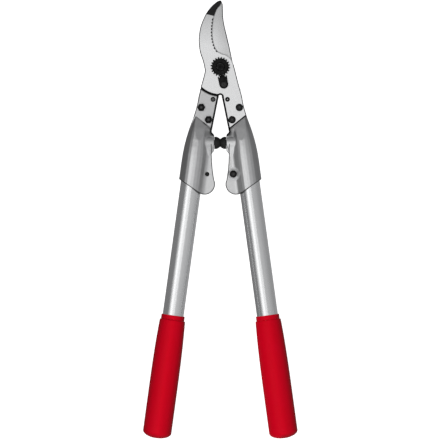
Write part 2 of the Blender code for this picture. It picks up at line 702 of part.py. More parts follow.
def buffer():
    """Rubber stop along Z, with its stem at the bottom and its face on top"""
    dome = BUFFER_LENGTH - BUFFER_RIM
    width = BUFFER_RADIUS - BUFFER_FACE_RADIUS
    profile = [(0, BUFFER_LENGTH)]
    for i in range(6):
        angle = math.pi / 2 * i / 5
        profile.append((BUFFER_FACE_RADIUS + width * math.sin(angle) ** BUFFER_BULGE,
                        BUFFER_RIM + dome * max(math.cos(angle), 0) ** BUFFER_BULGE))
    profile += [(BUFFER_RADIUS, FIT_GAP), (BUFFER_STEM_RADIUS, FIT_GAP),
                (BUFFER_STEM_RADIUS, -BUFFER_STEM_LENGTH), (0, -BUFFER_STEM_LENGTH)]
    return turned(profile, SMALL_STEPS)


def star(tip, root, ease=0.0):
    """Outline of the toothed nut; the ease widens each tooth by a distance"""
    pitch = 360 / NUT_TEETH
    outline = []
    for i in range(NUT_TEETH):
        middle = SEGMENT_BEARING + pitch * i
        spread = math.degrees(ease / tip)
        for bearing, radius in ((-0.44, root), (-0.10, tip), (0.10, tip), (0.44, root)):
            side = math.copysign(min(abs(bearing) * pitch + spread, pitch * 0.49), bearing)
            outline.append(polar(middle + side, radius))
    return outline


def pivot_nut(cutters, frame):
    low = PLATE_TOP + FIT_GAP
    mesh = flat_piece(star(NUT_TIP_RADIUS, NUT_ROOT_RADIUS), low, low + NUT_THICKNESS)
    bore = drum(PIVOT_RADIUS + FIT_GAP, low - CUT_MARGIN, low + NUT_THICKNESS + CUT_MARGIN,
                steps=ROUND_STEPS)
    return carve(mesh, {"pivot_nut_bore": bore}, cutters, frame)


def pivot_bolt():
    """Centre bolt: domed head behind the blade, plain shank, end just inside the nut"""
    top = PLATE_TOP + FIT_GAP + NUT_THICKNESS - PIVOT_END_RECESS
    low = -PLATE_TOP - FIT_GAP
    ease = PIVOT_HEAD_HEIGHT / 3
    tip = PIVOT_END_RECESS
    return turned([(0, top), (PIVOT_RADIUS - tip, top), (PIVOT_RADIUS, top - tip),
                   (PIVOT_RADIUS, low), (PIVOT_HEAD_RADIUS, low), (PIVOT_HEAD_RADIUS, low - ease),
                   (PIVOT_HEAD_RADIUS - ease, low - 2 * ease),
                   (PIVOT_HEAD_RADIUS - 2.5 * ease, low - PIVOT_HEAD_HEIGHT),
                   (0, low - PIVOT_HEAD_HEIGHT)])


def lock_segment(cutters, frame):
    """Segment with a round foot and two prongs, which meshes with three teeth of the nut"""
    low = PLATE_TOP + FIT_GAP
    foot = arc(SEGMENT_BEARING - 90, SEGMENT_BEARING + 90, SEGMENT_END_RADIUS, lock_place(), 12)
    middle_radius = NUT_TIP_RADIUS + FIT_GAP
    half = [(SEGMENT_SHOULDER_SPREAD, SEGMENT_SHOULDER_RADIUS),
            (SEGMENT_PRONG_SPREAD, SEGMENT_PRONG_RADIUS),
            (SEGMENT_HOLLOW_SPREAD, SEGMENT_HOLLOW_RADIUS), (SEGMENT_MIDDLE_SPREAD, middle_radius)]
    mouth = half + [(-spread, radius) for spread, radius in reversed(half)]
    outline = foot + [polar(SEGMENT_BEARING + spread, radius) for spread, radius in mouth]
    mesh = flat_piece(outline, low, low + SEGMENT_THICKNESS)
    under, high = low - CUT_MARGIN, low + SEGMENT_THICKNESS + CUT_MARGIN
    teeth = flat_piece(star(NUT_TIP_RADIUS + SEGMENT_MESH_GAP, NUT_ROOT_RADIUS + SEGMENT_MESH_GAP,
                            SEGMENT_MESH_GAP), under, high)
    hole = drum(LOCK_SCREW_RADIUS + FIT_GAP, under, high, (lock_place(),))
    return carve(mesh, {"segment_teeth": teeth, "segment_hole": hole}, cutters, frame)


def add_part(name, mesh, finish, parts, parent, location=(0, 0, 0), rotation=(0, 0, 0)):
    """Place one piece under its frame, shaded smooth between its sharp edges"""
    mesh.shade_smooth()
    mesh.set_sharp_from_angle(angle=math.radians(32))
    obj = new_object(name, mesh, parts, parent, location, rotation)
    paint(obj, finish)
    return obj


def leg_meshes(cutters, frame):
    """Meshes of the pieces that both sides have"""
    stack = PLATE_TOP + FIT_GAP - TONGUE_LOW + FIT_GAP
    clamp_length = CLAMP_SEAT + FIT_GAP + FLANGE_THICKNESS / 2 - CLAMP_SCREW_RECESS
    return {
        "head": head(cutters, frame),
        "tube": tube(),
        "grip": grip(),
        "buffer": buffer(),
        "leg_bolt": socket_screw(LEG_BOLT_RADIUS, stack + LEG_NUT_HEIGHT + LEG_BOLT_TAIL,
                                 LEG_BOLT_HEAD_RADIUS, LEG_BOLT_HEAD_HEIGHT, cutters, frame,
                                 "leg_bolt"),
        "leg_nut": hex_nut(LEG_NUT_WIDTH, LEG_NUT_HEIGHT, LEG_BOLT_RADIUS + FIT_GAP, cutters, frame),
        "rivet": rivet(),
        "clamp_screw": socket_screw(CLAMP_SCREW_RADIUS, clamp_length, CLAMP_HEAD_RADIUS,
                                    CLAMP_HEAD_HEIGHT, cutters, frame, "clamp_screw"),
    }


def add_leg(side, meshes, parts, frame):
    """Head, tube, grip, buffer and fasteners of one side"""
    handle = new_object(side + "_handle_axis", None, parts, frame)
    handle.matrix_basis = handle_matrix()
    add_part(side + "_head", meshes["head"], CAST_ALUMINIUM, parts, frame)
    add_part(side + "_tube", meshes["tube"], DRAWN_ALUMINIUM, parts, handle)
    add_part(side + "_grip", meshes["grip"], RED_PLASTIC, parts, handle)
    add_part(side + "_buffer", meshes["buffer"], BLACK_RUBBER, parts, frame,
             (BOSS_FACE - BOSS_LIP, -BUFFER_DROP, 0), (0, -math.pi / 2, 0))
    for level, place in (("upper", UPPER_BOLT_PLACE), ("lower", LOWER_BOLT_PLACE)):
        add_part(side + "_" + level + "_bolt", meshes["leg_bolt"], BLACK_STEEL, parts, frame,
                 (*place, PLATE_TOP + FIT_GAP))
        add_part(side + "_" + level + "_nut", meshes["leg_nut"], BLACK_STEEL, parts, frame,
                 (*place, TONGUE_LOW - FIT_GAP - LEG_NUT_HEIGHT), (0, 0, math.radians(LEG_NUT_TURN)))
    add_part(side + "_rivet", meshes["rivet"], BLACK_STEEL, parts, frame, (*RIVET_PLACE, 0))
    add_part(side + "_clamp_screw", meshes["clamp_screw"], BLACK_STEEL, parts, frame,
             (*CLAMP_SCREW_PLACE, CLAMP_SEAT + FIT_GAP))


def lowest_centre(objects):
    """Middle of the model's box, at its lowest height"""
    bpy.context.view_layer.update()
    corners = [obj.matrix_world @ v.co for obj in objects for v in obj.data.vertices]
    low = [min(c[i] for c in corners) for i in range(3)]
    high = [max(c[i] for c in corners) for i in range(3)]
    return Vector(((low[0] + high[0]) / 2, (low[1] + high[1]) / 2, low[2])), low, high


def main():
    clear_scene()
    parts = new_collection("lopper")
    cutters = new_collection("lopper_cutters")
    origin = new_object("lopper_origin", None, parts)
    hook_side = new_object("hook_side", None, parts, origin)
    blade_side = new_object("blade_side", None, parts, origin, rotation=(0, math.pi, 0))
    bpy.context.view_layer.update()

    add_part("hook_plate", hook_plate(cutters, hook_side), BRIGHT_STEEL, parts, hook_side)
    add_part("blade_plate", blade_plate(cutters, blade_side), BRIGHT_STEEL, parts, blade_side)
    add_part("pivot_bolt", pivot_bolt(), BLACK_STEEL, parts, hook_side)
    add_part("pivot_nut", pivot_nut(cutters, hook_side), BLACK_STEEL, parts, hook_side)
    add_part("lock_segment", lock_segment(cutters, hook_side), BLACK_STEEL, parts, hook_side)
    lock_length = SEGMENT_THICKNESS + FIT_GAP + PLATE_THICKNESS - LOCK_SCREW_RECESS
    lock_screw = socket_screw(LOCK_SCREW_RADIUS, lock_length, LOCK_HEAD_RADIUS, LOCK_HEAD_HEIGHT,
                              cutters, hook_side, "lock_screw")
    add_part("lock_screw", lock_screw, BLACK_STEEL, parts, hook_side,
             (*lock_place(), PLATE_TOP + SEGMENT_THICKNESS + 2 * FIT_GAP))

    meshes = leg_meshes(cutters, hook_side)
    add_leg("hook", meshes, parts, hook_side)
    add_leg("blade", meshes, parts, blade_side)

    solids = [obj for obj in parts.objects if obj.type == "MESH"]
    centre, low, high = lowest_centre(solids)
    origin.location = -centre
    bpy.context.view_layer.update()
    print("size", [round(b - a, 5) for a, b in zip(low, high)])
    print("pivot", [round(c, 6) for c in hook_side.matrix_world.translation])


main()
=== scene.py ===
import json
import math

import bmesh
import bpy
from mathutils import Matrix, Vector


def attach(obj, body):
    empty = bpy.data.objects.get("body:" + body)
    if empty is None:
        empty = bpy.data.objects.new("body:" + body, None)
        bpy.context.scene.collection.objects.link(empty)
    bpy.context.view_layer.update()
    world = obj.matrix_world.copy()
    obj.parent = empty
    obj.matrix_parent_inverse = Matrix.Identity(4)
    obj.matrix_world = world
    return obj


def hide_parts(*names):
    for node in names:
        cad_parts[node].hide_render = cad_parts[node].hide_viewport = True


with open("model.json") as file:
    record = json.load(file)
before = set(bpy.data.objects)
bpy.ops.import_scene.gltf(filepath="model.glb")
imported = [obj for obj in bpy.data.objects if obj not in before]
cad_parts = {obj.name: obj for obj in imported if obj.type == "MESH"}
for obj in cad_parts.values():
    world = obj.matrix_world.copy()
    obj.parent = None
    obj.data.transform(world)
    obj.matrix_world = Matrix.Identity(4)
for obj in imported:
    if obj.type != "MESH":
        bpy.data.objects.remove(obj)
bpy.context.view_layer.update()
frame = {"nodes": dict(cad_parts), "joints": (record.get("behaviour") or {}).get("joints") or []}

# Front plate: the counter blade of the hook side, blanked from 5 mm steel and polished.
# Its notched edge holds the branch against the blade. The thinned tip is left black.

PIVOT = Vector(frame["joints"][0]["pos_m"])
SIDES = {"hook": Matrix.Translation(PIVOT),
         "blade": Matrix.Translation(PIVOT) @ Matrix.Rotation(math.pi, 4, "Y")}

PLATE_LOW = 0.00015
PLATE_TOP = 0.00515
PLATE_CHAMFER = 0.0012
CRISP_DROP = 0.0003
EDGE_THICKNESS = 0.0006
SAME_POINT = 0.000001
WELD_REACH = 0.000002
CAD_WELD_REACH = 0.00001
HUB_RADIUS = 0.0188
FORK_RADIUS = 0.0398
FORK_START = 269
FORK_CORNER_RADIUS = 0.0026
FORK_CORNER_SPAN = (8, 90)
SLOT_CORNER = (0.0, -0.0424)
LEG_INNER_TOP = (0.0026, -0.0430)
LEG_INNER_FOOT = (0.0123, -0.0920)
LEG_OUTER_EDGE = [(0.0188, 0.0034), (0.0218, -0.0079), (0.0246, -0.0193), (0.0276, -0.0306),
                  (0.0307, -0.0419), (0.0328, -0.0533), (0.0359, -0.0646), (0.0396, -0.0760),
                  (0.0440, -0.0880)]
LEG_END_POINT = (0.0343, -0.0711)
LEG_END_SLOPE = 38.7
LEG_END_GAP = 0.0003
UPPER_BOLT_PLACE = (0.0270, -0.0576)
LOWER_BOLT_PLACE = (0.01665, -0.0750)
RIVET_PLACE = (0.0102, -0.0461)
PIVOT_HOLE = 0.0063
BOLT_HOLE = 0.0033
RIVET_HOLE = 0.0027
LOCK_HOLE = 0.0025

HOOK_HUB_SPAN = (82, 29)
HOOK_FORK_END = 226
HOOK_TIP_CENTRE = (-0.0004, 0.0918)
HOOK_TIP_RADIUS = 0.0023
HOOK_TIP_SPAN = (118, -24)
HOOK_BACK_EDGE = [(-0.0221, -0.0079), (-0.0226, -0.0005), (-0.0249, 0.0091), (-0.0286, 0.0204),
                  (-0.0303, 0.0317), (-0.0304, 0.0410), (-0.0286, 0.0544), (-0.0248, 0.0657),
                  (-0.0192, 0.0771), (-0.0115, 0.0866), (-0.0041, 0.0929)]
HOOK_BEARING_EDGE = [(0.0016, 0.0906), (-0.0002, 0.0872), (-0.0050, 0.0813), (-0.0085, 0.0722),
                     (-0.0101, 0.0638), (-0.0110, 0.0560), (-0.0112, 0.0480), (-0.0106, 0.0395),
                     (-0.0092, 0.0327), (-0.0066, 0.0258), (-0.0030, 0.0213)]
NOTCH_COUNT = 11
NOTCH_RADIUS = 0.0017
NOTCH_FOOT_RADIUS = 0.0003
NOTCH_INSET = 0.0006
NOTCH_PITCH = 0.00446
NOTCH_START = 0.0667
NOTCH_REACH = 0.0004
TIP_START = (-0.0094, 0.0721)
TIP_BEARING = 77.0
TIP_SLOPE = 7.0
SEGMENT_BEARING = -78.6
LOCK_SCREW_PLACE = (0.00498, -0.0247)

STEEL_GRAIN = 0.0006
STEEL_GRAIN_RUN = 14
STEEL_GRAIN_TURN = -8
STEEL_CLOUDS = 0.012
STEEL_VARIATION = 0.08
STEEL_ROUGHNESS = 0.27
STEEL_RELIEF = 0.00002
# Painted shade: the plates darken towards their far ends, and the blade towards its spine.
HOOK_TONES = (0.78, 0.56, 1.0)
TONE_START = 0.030
TONE_RUN = 0.042
SPINE_START = 0.010
SPINE_RUN = 0.018
EDGE_LIMIT = 0.8
# Painted shade: the chamfers, the steep edges and any given lines are dark.
EDGE_SHADE_TONE = 0.09
EDGE_ROUGHENING = 0.15
EDGE_LINE_WIDTH = 1.2 * PLATE_CHAMFER
WALL_LIMIT = 0.5
SLOT_EDGE_WIDTH = 0.0026
SLOT_CORNER_RADIUS = 0.0050
SOFT_EDGE = 0.0003
# Painted shade: black in the fork's gap ring, round the nut, where the segment meshes with it, in
# the slot and on the walls.
SHADE_RING_START = 0.0393
SHADE_RING_END = 0.0422
PAINTED_SHADE_TONE = 0.008
MESH_SPOT = 0.0152
MESH_SHADE_RADIUS = 0.0040
NUT_SHADE_RADIUS = 0.0120
TIP_TONE = 0.008
TIP_SPECKLE = 0.0011
TIP_SPECKLE_TONE = 0.026
TIP_ROUGHENING = 0.18
TIP_DULLING = 0.35


def polar(bearing, radius, centre=(0.0, 0.0)):
    """Point at a bearing in degrees, counted from +X towards +Y"""
    angle = math.radians(bearing)
    return (centre[0] + radius * math.cos(angle), centre[1] + radius * math.sin(angle))


def arc(start, end, radius, centre=(0.0, 0.0), steps=24):
    """Points of an arc between two bearings"""
    return [polar(start + (end - start) * i / steps, radius, centre) for i in range(steps + 1)]


def smooth(points, steps=8):
    """Points of the even curve that runs through the given ones"""
    ends = [points[0], *points, points[-1]]
    curve = []
    for before, start, end, after in zip(ends, ends[1:], ends[2:], ends[3:]):
        for i in range(steps):
            t = i / steps
            curve.append(tuple(
                0.5 * (2 * b + (c - a) * t + (2 * a - 5 * b + 4 * c - d) * t ** 2
                       + (3 * b - a - 3 * c + d) * t ** 3)
                for a, b, c, d in zip(before, start, end, after)))
    curve.append(tuple(points[-1]))
    return curve


def notch_tool(edge):
    """Tapered pins, one at each pitch of the bearing edge, with centres just inside the plate"""
    fine = [Vector(p) for p in smooth(edge, 60)]
    feet = [next(i for i, p in enumerate(fine) if p.y <= NOTCH_START)]
    while len(feet) < NOTCH_COUNT:
        feet.append(next(i for i in range(feet[-1], len(fine))
                         if (fine[i] - fine[feet[-1]]).length >= NOTCH_PITCH))
    pins = bmesh.new()
    rise = PLATE_TOP - PLATE_LOW + NOTCH_REACH
    for i in feet:
        run = (fine[i + 1] - fine[i - 1]).normalized()
        centre = fine[i] + Vector((run.y, -run.x)) * NOTCH_INSET
        bmesh.ops.create_cone(pins, cap_ends=True, segments=24,
                              radius1=NOTCH_FOOT_RADIUS,
                              radius2=2 * NOTCH_RADIUS - NOTCH_FOOT_RADIUS,
                              depth=2 * rise, matrix=Matrix.Translation((*centre, PLATE_TOP)))
    return pins


def cut_with(bm, tool):
    """The mesh with a tool's shape taken out of it"""
    blank, cutter = (bpy.data.objects.new("blank", bpy.data.meshes.new("blank")) for _ in range(2))
    for piece, shape in ((blank, bm), (cutter, tool)):
        shape.to_mesh(piece.data)
        shape.free()
        bpy.context.scene.collection.objects.link(piece)
    boolean = blank.modifiers.new("cut", "BOOLEAN")
    boolean.object = cutter
    bpy.context.view_layer.update()
    made = bmesh.new()
    made.from_object(blank, bpy.context.evaluated_depsgraph_get())
    bpy.data.objects.remove(blank)
    bpy.data.objects.remove(cutter)
    return made


def fork_edge(end_bearing):
    """Inner edge of the leg, round corner and arc under the pivot, from the leg's foot"""
    corner = arc(*FORK_CORNER_SPAN, FORK_CORNER_RADIUS, SLOT_CORNER, 8)
    return [LEG_INNER_FOOT] + corner + arc(FORK_START, end_bearing, FORK_RADIUS)


def above_leg_end(outline):
    """The part of a closed outline above the sloped line where the casting begins"""
    normal = Vector(polar(LEG_END_SLOPE + 90, 1.0))
    heights = [(Vector(p) - Vector(LEG_END_POINT)).dot(normal) - LEG_END_GAP for p in outline]
    kept = []
    for i, here in enumerate(outline):
        follow = (i + 1) % len(outline)
        if heights[i] >= 0:
            kept.append(here)
        if (heights[i] >= 0) != (heights[follow] >= 0):
            share = heights[i] / (heights[i] - heights[follow])
            kept.append(tuple(Vector(here).lerp(Vector(outline[follow]), share)))
    return kept


def plate(outline, holes, chamfer, low=PLATE_LOW, high=PLATE_TOP, ground=None, under=(),
          crisp=()):
    """Flat plate with a chamfered upper rim and round holes, given as (place, radius).

    Where ground gives an inward step for a point of the outline, the rim is ground thin. Between
    the points in under the lower rim is chamfered too, and in crisp the upper rim hardly is."""

    def is_among(vert, points):
        return any((Vector(p) - vert.co.xy).length < SAME_POINT for p in points)

    bm = bmesh.new()
    foot = bm.faces.new([bm.verts.new((x, y, low)) for x, y in outline])
    foot.normal_update()
    if foot.normal.z < 0:
        foot.normal_flip()
    grown = bmesh.ops.extrude_face_region(bm, geom=[foot], use_keep_orig=True)["geom"]
    top = next(g for g in grown if isinstance(g, bmesh.types.BMFace))
    bmesh.ops.translate(bm, vec=(0, 0, high - low - chamfer), verts=top.verts)
    bm.normal_update()
    bmesh.ops.inset_region(bm, faces=[top], thickness=chamfer, use_even_offset=True)
    bmesh.ops.translate(bm, vec=(0, 0, chamfer), verts=top.verts)
    for vert in top.verts:
        below = next(edge.other_vert(vert) for edge in vert.link_edges
                     if top not in edge.link_faces)
        step = ground and ground.get((round(below.co.x, 6), round(below.co.y, 6)))
        if step:
            below.co.z = low + EDGE_THICKNESS
            vert.co.xy = below.co.xy + step
        if is_among(below, crisp):
            below.co.z = high - CRISP_DROP
    eased = [edge for edge in foot.edges if all(is_among(vert, under) for vert in edge.verts)]
    bmesh.ops.bevel(bm, geom=eased, offset=chamfer, segments=1, affect="EDGES", profile=0.5,
                    material=-1)
    bm.normal_update()
    foot = max((face for face in bm.faces if face.normal.z < -0.9),
               key=lambda face: face.calc_area())
    rims = [list(foot.edges), list(top.edges)]
    bmesh.ops.delete(bm, geom=[foot, top], context="FACES_ONLY")
    for place, radius in holes:
        ring = bmesh.ops.create_circle(bm, segments=40, radius=radius,
                                       matrix=Matrix.Translation((*place, low)))["verts"]
        lower = list({edge for vert in ring for edge in vert.link_edges})
        bore = bmesh.ops.extrude_edge_only(bm, edges=lower)["geom"]
        bmesh.ops.translate(bm, vec=(0, 0, high - low),
                            verts=[g for g in bore if isinstance(g, bmesh.types.BMVert)])
        rims[0] += lower
        rims[1] += [g for g in bore if isinstance(g, bmesh.types.BMEdge)
                    and all(abs(v.co.z - high) < CAD_WELD_REACH for v in g.verts)]
    for rim in rims:
        bmesh.ops.triangle_fill(bm, use_beauty=True, edges=rim)
    return bm


def dress(name, bm, side, finish, slot, *nodes, crease=30):
    """Close a piece's mesh, put it in place on its side and let it stand for its CAD nodes"""
    bmesh.ops.remove_doubles(bm, verts=bm.verts, dist=WELD_REACH)
    bmesh.ops.recalc_face_normals(bm, faces=bm.faces)
    bmesh.ops.transform(bm, matrix=SIDES[side], verts=bm.verts)
    mesh = bpy.data.meshes.new(name)
    bm.to_mesh(mesh)
    bm.free()
    mesh.shade_smooth()
    mesh.set_sharp_from_angle(angle=math.radians(crease))
    mesh.materials.append(finish)
    piece = bpy.data.objects.new(name, mesh)
    bpy.context.scene.collection.objects.link(piece)
    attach(piece, side + "_side")
    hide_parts(*nodes)
    return piece


class Signal:
    """Output of a shader node; sums and comparisons on it add Math nodes to its tree"""

    def __init__(self, home, socket):
        self.home = home
        self.socket = socket

    def maths(self, operation, *values):
        return self.home.node("ShaderNodeMath", {"operation": operation}, values)

    def __add__(self, other):
        return self.maths("ADD", self, other)

    def __radd__(self, other):
        return self.maths("ADD", other, self)

    def __sub__(self, other):
        return self.maths("SUBTRACT", self, other)

    def __rsub__(self, other):
        return self.maths("SUBTRACT", other, self)

    def __mul__(self, other):
        return self.maths("MULTIPLY", self, other)

    def __rmul__(self, other):
        return self.maths("MULTIPLY", other, self)

    def __truediv__(self, other):
        return self.maths("DIVIDE", self, other)

    def __rtruediv__(self, other):
        return self.maths("DIVIDE", other, self)

    def __gt__(self, other):
        return self.maths("GREATER_THAN", self, other)

    def __lt__(self, other):
        return self.maths("LESS_THAN", self, other)

    def __abs__(self):
        return self.maths("ABSOLUTE", self)

    def clamp(self):
        return self.home.node("ShaderNodeClamp", {}, {"Value": self})

    def swing(self, amount):
        """A pattern's swing about its middle, by a given amount from end to end"""
        return (self - 0.5) * amount

    def towards(self, other, share):
        return self + (other - self) * share


class NodeTree:
    """Shader nodes of a material or of the world; the node method adds any node and links it"""

    def __init__(self, tree):
        self.tree = tree

    def node(self, kind, settings, inputs, output=0):
        made = self.tree.nodes.new(kind)
        for name, value in settings.items():
            setattr(made, name, value)
        pairs = inputs.items() if isinstance(inputs, dict) else enumerate(inputs)
        for key, value in pairs:
            self.feed(made.inputs[key], value)
        return Signal(self, made.outputs[output])

    def feed(self, socket, value):
        if isinstance(value, Signal):
            self.tree.links.new(value.socket, socket)
        else:
            socket.default_value = value


class Finish(NodeTree):
    """A procedural material; its places are counted in the axes given, on a side at the pivot"""

    def __init__(self, name, side, axes=Matrix.Identity(4)):
        self.side = side
        self.material = bpy.data.materials.new(name)
        self.material.use_nodes = True
        super().__init__(self.material.node_tree)
        self.shader = self.tree.nodes["Principled BSDF"]
        inverse = (SIDES[side] @ axes).inverted()
        spot = self.node("ShaderNodeTexCoord", {}, {}, "Object")
        self.place = self.node("ShaderNodeMapping", {}, {
            "Vector": spot, "Location": inverse.translation, "Rotation": inverse.to_euler()})

    def noise(self, size, detail=3.0, stretch=(1, 1, 1), turn=0.0, place=None):
        """Cloudy pattern whose grains are about a size across, longer along a stretched axis"""
        at = self.node("ShaderNodeMapping", {}, {
            "Vector": place or self.place, "Rotation": (0, 0, math.radians(turn)),
            "Scale": [1 / s for s in stretch]})
        return self.node("ShaderNodeTexNoise", {}, {"Vector": at, "Scale": 1 / size,
                                                    "Detail": detail, "Roughness": 0.55})

    def blend(self, share, first, second):
        """Mix of two colours"""
        return self.node("ShaderNodeMix", {"data_type": "RGBA"},
                         {0: share, 6: first, 7: second}, 2)

    def grey(self, level):
        """Colour of a grey whose level changes over the surface"""
        return self.node("ShaderNodeCombineColor", {}, [level * 0.99, level * 0.995, level])

    def along(self, direction):
        """How far a point lies along a direction, from the pivot"""
        return self.node("ShaderNodeVectorMath", {"operation": "DOT_PRODUCT"},
                         [self.place, direction], 1)

    def strip(self, start, end, width, soft):
        """Share of a strip on both sides of the line between two points"""
        run = (Vector(end) - Vector(start)).normalized()
        across = Vector((-run.y, run.x))
        depth = abs(self.along((*across, 0)) - across.dot(start))
        reach = self.along((*run, 0)) - run.dot(start)
        return (((width - depth) / soft).clamp() * (reach > -width / 2)
                * (reach < (Vector(end) - Vector(start)).length + width / 2))

    def distance(self, centre=(0.0, 0.0)):
        """How far a point lies from an upright axis"""
        flat = self.node("ShaderNodeVectorMath", {"operation": "MULTIPLY_ADD"},
                         [self.place, (1, 1, 0), (-centre[0], -centre[1], 0)])
        return self.node("ShaderNodeVectorMath", {"operation": "LENGTH"}, [flat], 1)

    def facing(self, axis):
        """How far the surface faces along X, Y or Z of the model, from -1 to 1"""
        normal = self.node("ShaderNodeTexCoord", {}, {}, "Normal")
        return self.node("ShaderNodeSeparateXYZ", {}, [normal], axis)

    def outward(self):
        """How far the surface faces away from the other side's plate, from -1 to 1"""
        return self.facing(2) * SIDES[self.side][2][2]

    def relief(self, height, depth):
        """Bumps of a given depth in metres"""
        self.feed(self.shader.inputs["Normal"], self.node(
            "ShaderNodeBump", {}, {"Height": height, "Distance": depth, "Strength": 1.0}))

    def set(self, **values):
        """Feed the shader's sockets, named in lower case"""
        sockets = {socket.name.lower().replace(" ", "_"): socket for socket in self.shader.inputs}
        for name, value in values.items():
            self.feed(sockets[name], value)
        return self.material


def polished_plate(name, side, tones, tip=None, mesh_shade_spot=None, lines=()):
    """Ground steel with faint lengthwise grain and clouds, and painted shade: black in the slot, on
    its walls, in the fork's gap and round the nut, and dark at its edges.

    The tones are those of the leg and of the far end, and the last is the share of them that the
    spine side keeps; this fall of tone is painted shade. Where given, the tip is black, and the
    place of the nut and the lines are darkened with painted shade."""
    finish = Finish(name, side)
    grain = finish.noise(STEEL_GRAIN, 4, (1, STEEL_GRAIN_RUN, 1), STEEL_GRAIN_TURN)
    clouds = finish.noise(STEEL_CLOUDS, 3)
    share = (grain.swing(0.45) + clouds.swing(0.9) + 0.5).clamp()
    height = finish.along((0, 1, 0))
    # painted shade: the level falls towards the far end and towards the spine side
    ahead = ((height - TONE_START) / TONE_RUN).clamp()
    aside = ((SPINE_START - finish.along((1, 0, 0))) / SPINE_RUN).clamp() * (height > 0.0)
    near, far, spine_share = tones
    level = (near + (far - near) * ahead) * (1.0 - (1.0 - spine_share) * aside) * (
        1.0 - STEEL_VARIATION + STEEL_VARIATION * share)
    outward = finish.outward()
    radius = finish.distance()
    # painted shade: black in the fork's gap, under the nut and where the segment meshes with it
    gap_shade = (radius > SHADE_RING_START) * (radius < SHADE_RING_END) * (outward < -0.5) * (height < 0.0)
    if mesh_shade_spot:
        gap_shade = gap_shade + (finish.distance(mesh_shade_spot) < MESH_SHADE_RADIUS) + (
            radius < NUT_SHADE_RADIUS)
    slot = finish.strip(LEG_INNER_TOP, LEG_INNER_FOOT, SLOT_EDGE_WIDTH, SOFT_EDGE) + (
        finish.distance(SLOT_CORNER) < SLOT_CORNER_RADIUS)
    # painted shade: dark chamfers, steep edges and the given lines
    edge = abs(outward) < EDGE_LIMIT
    for start, end in zip(lines, lines[1:]):
        edge = (edge + finish.strip(start, end, EDGE_LINE_WIDTH, SOFT_EDGE)).clamp()
    level = level.towards(EDGE_SHADE_TONE, edge)
    black = (gap_shade + slot + (abs(outward) < WALL_LIMIT)).clamp()
    level = level.towards(PAINTED_SHADE_TONE, black)
    roughness = STEEL_ROUGHNESS + clouds.swing(0.10) + grain.swing(0.12) + edge * EDGE_ROUGHENING
    metallic = 1.0
    if tip:
        start, bearing = tip
        heading = Vector(polar(bearing, 1.0))
        tip_black = finish.along((*heading, 0)) > Vector(start).dot(heading)
        speckled = TIP_TONE + TIP_SPECKLE_TONE * finish.noise(TIP_SPECKLE, 5)
        level = level.towards(speckled, tip_black)
        roughness = roughness + tip_black * TIP_ROUGHENING
        metallic = 1.0 - tip_black * TIP_DULLING
    finish.relief(grain * 0.6 + clouds, STEEL_RELIEF)
    return finish.set(base_color=finish.grey(level), roughness=roughness, metallic=metallic)


hub = arc(*HOOK_HUB_SPAN, HUB_RADIUS)
fork = fork_edge(HOOK_FORK_END)
outline = (arc(*HOOK_TIP_SPAN, HOOK_TIP_RADIUS, HOOK_TIP_CENTRE, 12) + smooth(HOOK_BEARING_EDGE)
           + hub + smooth(LEG_OUTER_EDGE) + fork[:-1]
           + smooth([fork[-1]] + HOOK_BACK_EDGE)[:-1])
leg_holes = [(UPPER_BOLT_PLACE, BOLT_HOLE), (LOWER_BOLT_PLACE, BOLT_HOLE),
             (RIVET_PLACE, RIVET_HOLE)]
hub_holes = [((0, 0), PIVOT_HOLE), (LOCK_SCREW_PLACE, LOCK_HOLE)]
bm = plate(above_leg_end(outline), leg_holes + hub_holes, PLATE_CHAMFER,
           crisp=smooth(HOOK_BEARING_EDGE) + hub)
bm = cut_with(bm, notch_tool(HOOK_BEARING_EDGE))
heading = Vector((*polar(TIP_BEARING, math.tan(math.radians(TIP_SLOPE))), 1))
cut = bmesh.ops.bisect_plane(bm, geom=[*bm.verts, *bm.edges, *bm.faces], dist=SAME_POINT,
                             plane_co=(*TIP_START, PLATE_TOP), plane_no=heading, clear_outer=True)
rim = [g for g in cut["geom_cut"] if isinstance(g, bmesh.types.BMEdge)]
bmesh.ops.holes_fill(bm, edges=rim)
hook_polish = polished_plate("front_plate_polish", "hook", HOOK_TONES,
                             tip=(TIP_START, TIP_BEARING),
                             mesh_shade_spot=polar(SEGMENT_BEARING, MESH_SPOT))
dress("front_plate", bm, "hook", hook_polish, "plate_steel", "hook_plate", crease=5)


# Blade: the cutting plate behind the hook, of the same steel with a duller face.
# Its back is ground down to the cutting edge, which passes close behind the hook.

BLADE_TIP = (-0.0020, 0.0925)
BLADE_CUTTING_EDGE = [(0.0045, 0.0850), (0.0090, 0.0780), (0.0121, 0.0710), (0.0146, 0.0630),
                      (0.0158, 0.0540), (0.0158, 0.0460), (0.0149, 0.0380), (0.0128, 0.0310),
                      (0.0104, 0.0250), (0.0094, 0.0200)]
BLADE_SPINE = [(-0.0214, -0.0079), (-0.0184, 0.0034), (-0.0158, 0.0147), (-0.0135, 0.0261),
               (-0.0109, 0.0374), (-0.0082, 0.0487), (-0.0056, 0.0601), (-0.0040, 0.0714),
               (-0.0037, 0.0828), (-0.0034, 0.0890)]
# Along this line the blade is darkened with painted shade.
BLADE_SPINE_LINE = [(-0.0184, 0.0034), (-0.0135, 0.0261), (-0.0082, 0.0487), (-0.0040, 0.0714),
                    (-0.0034, 0.0890)]
BLADE_HUB_SPAN = (61, 14)
BLADE_FORK_END = 228.5
GRIND_WIDTH = 0.0085
GRIND_LEAST = 0.001
GRIND_TIP_GROWTH = 0.5
GRIND_HEEL_GROWTH = 0.9
BLADE_TONES = (0.78, 0.56, 0.78)


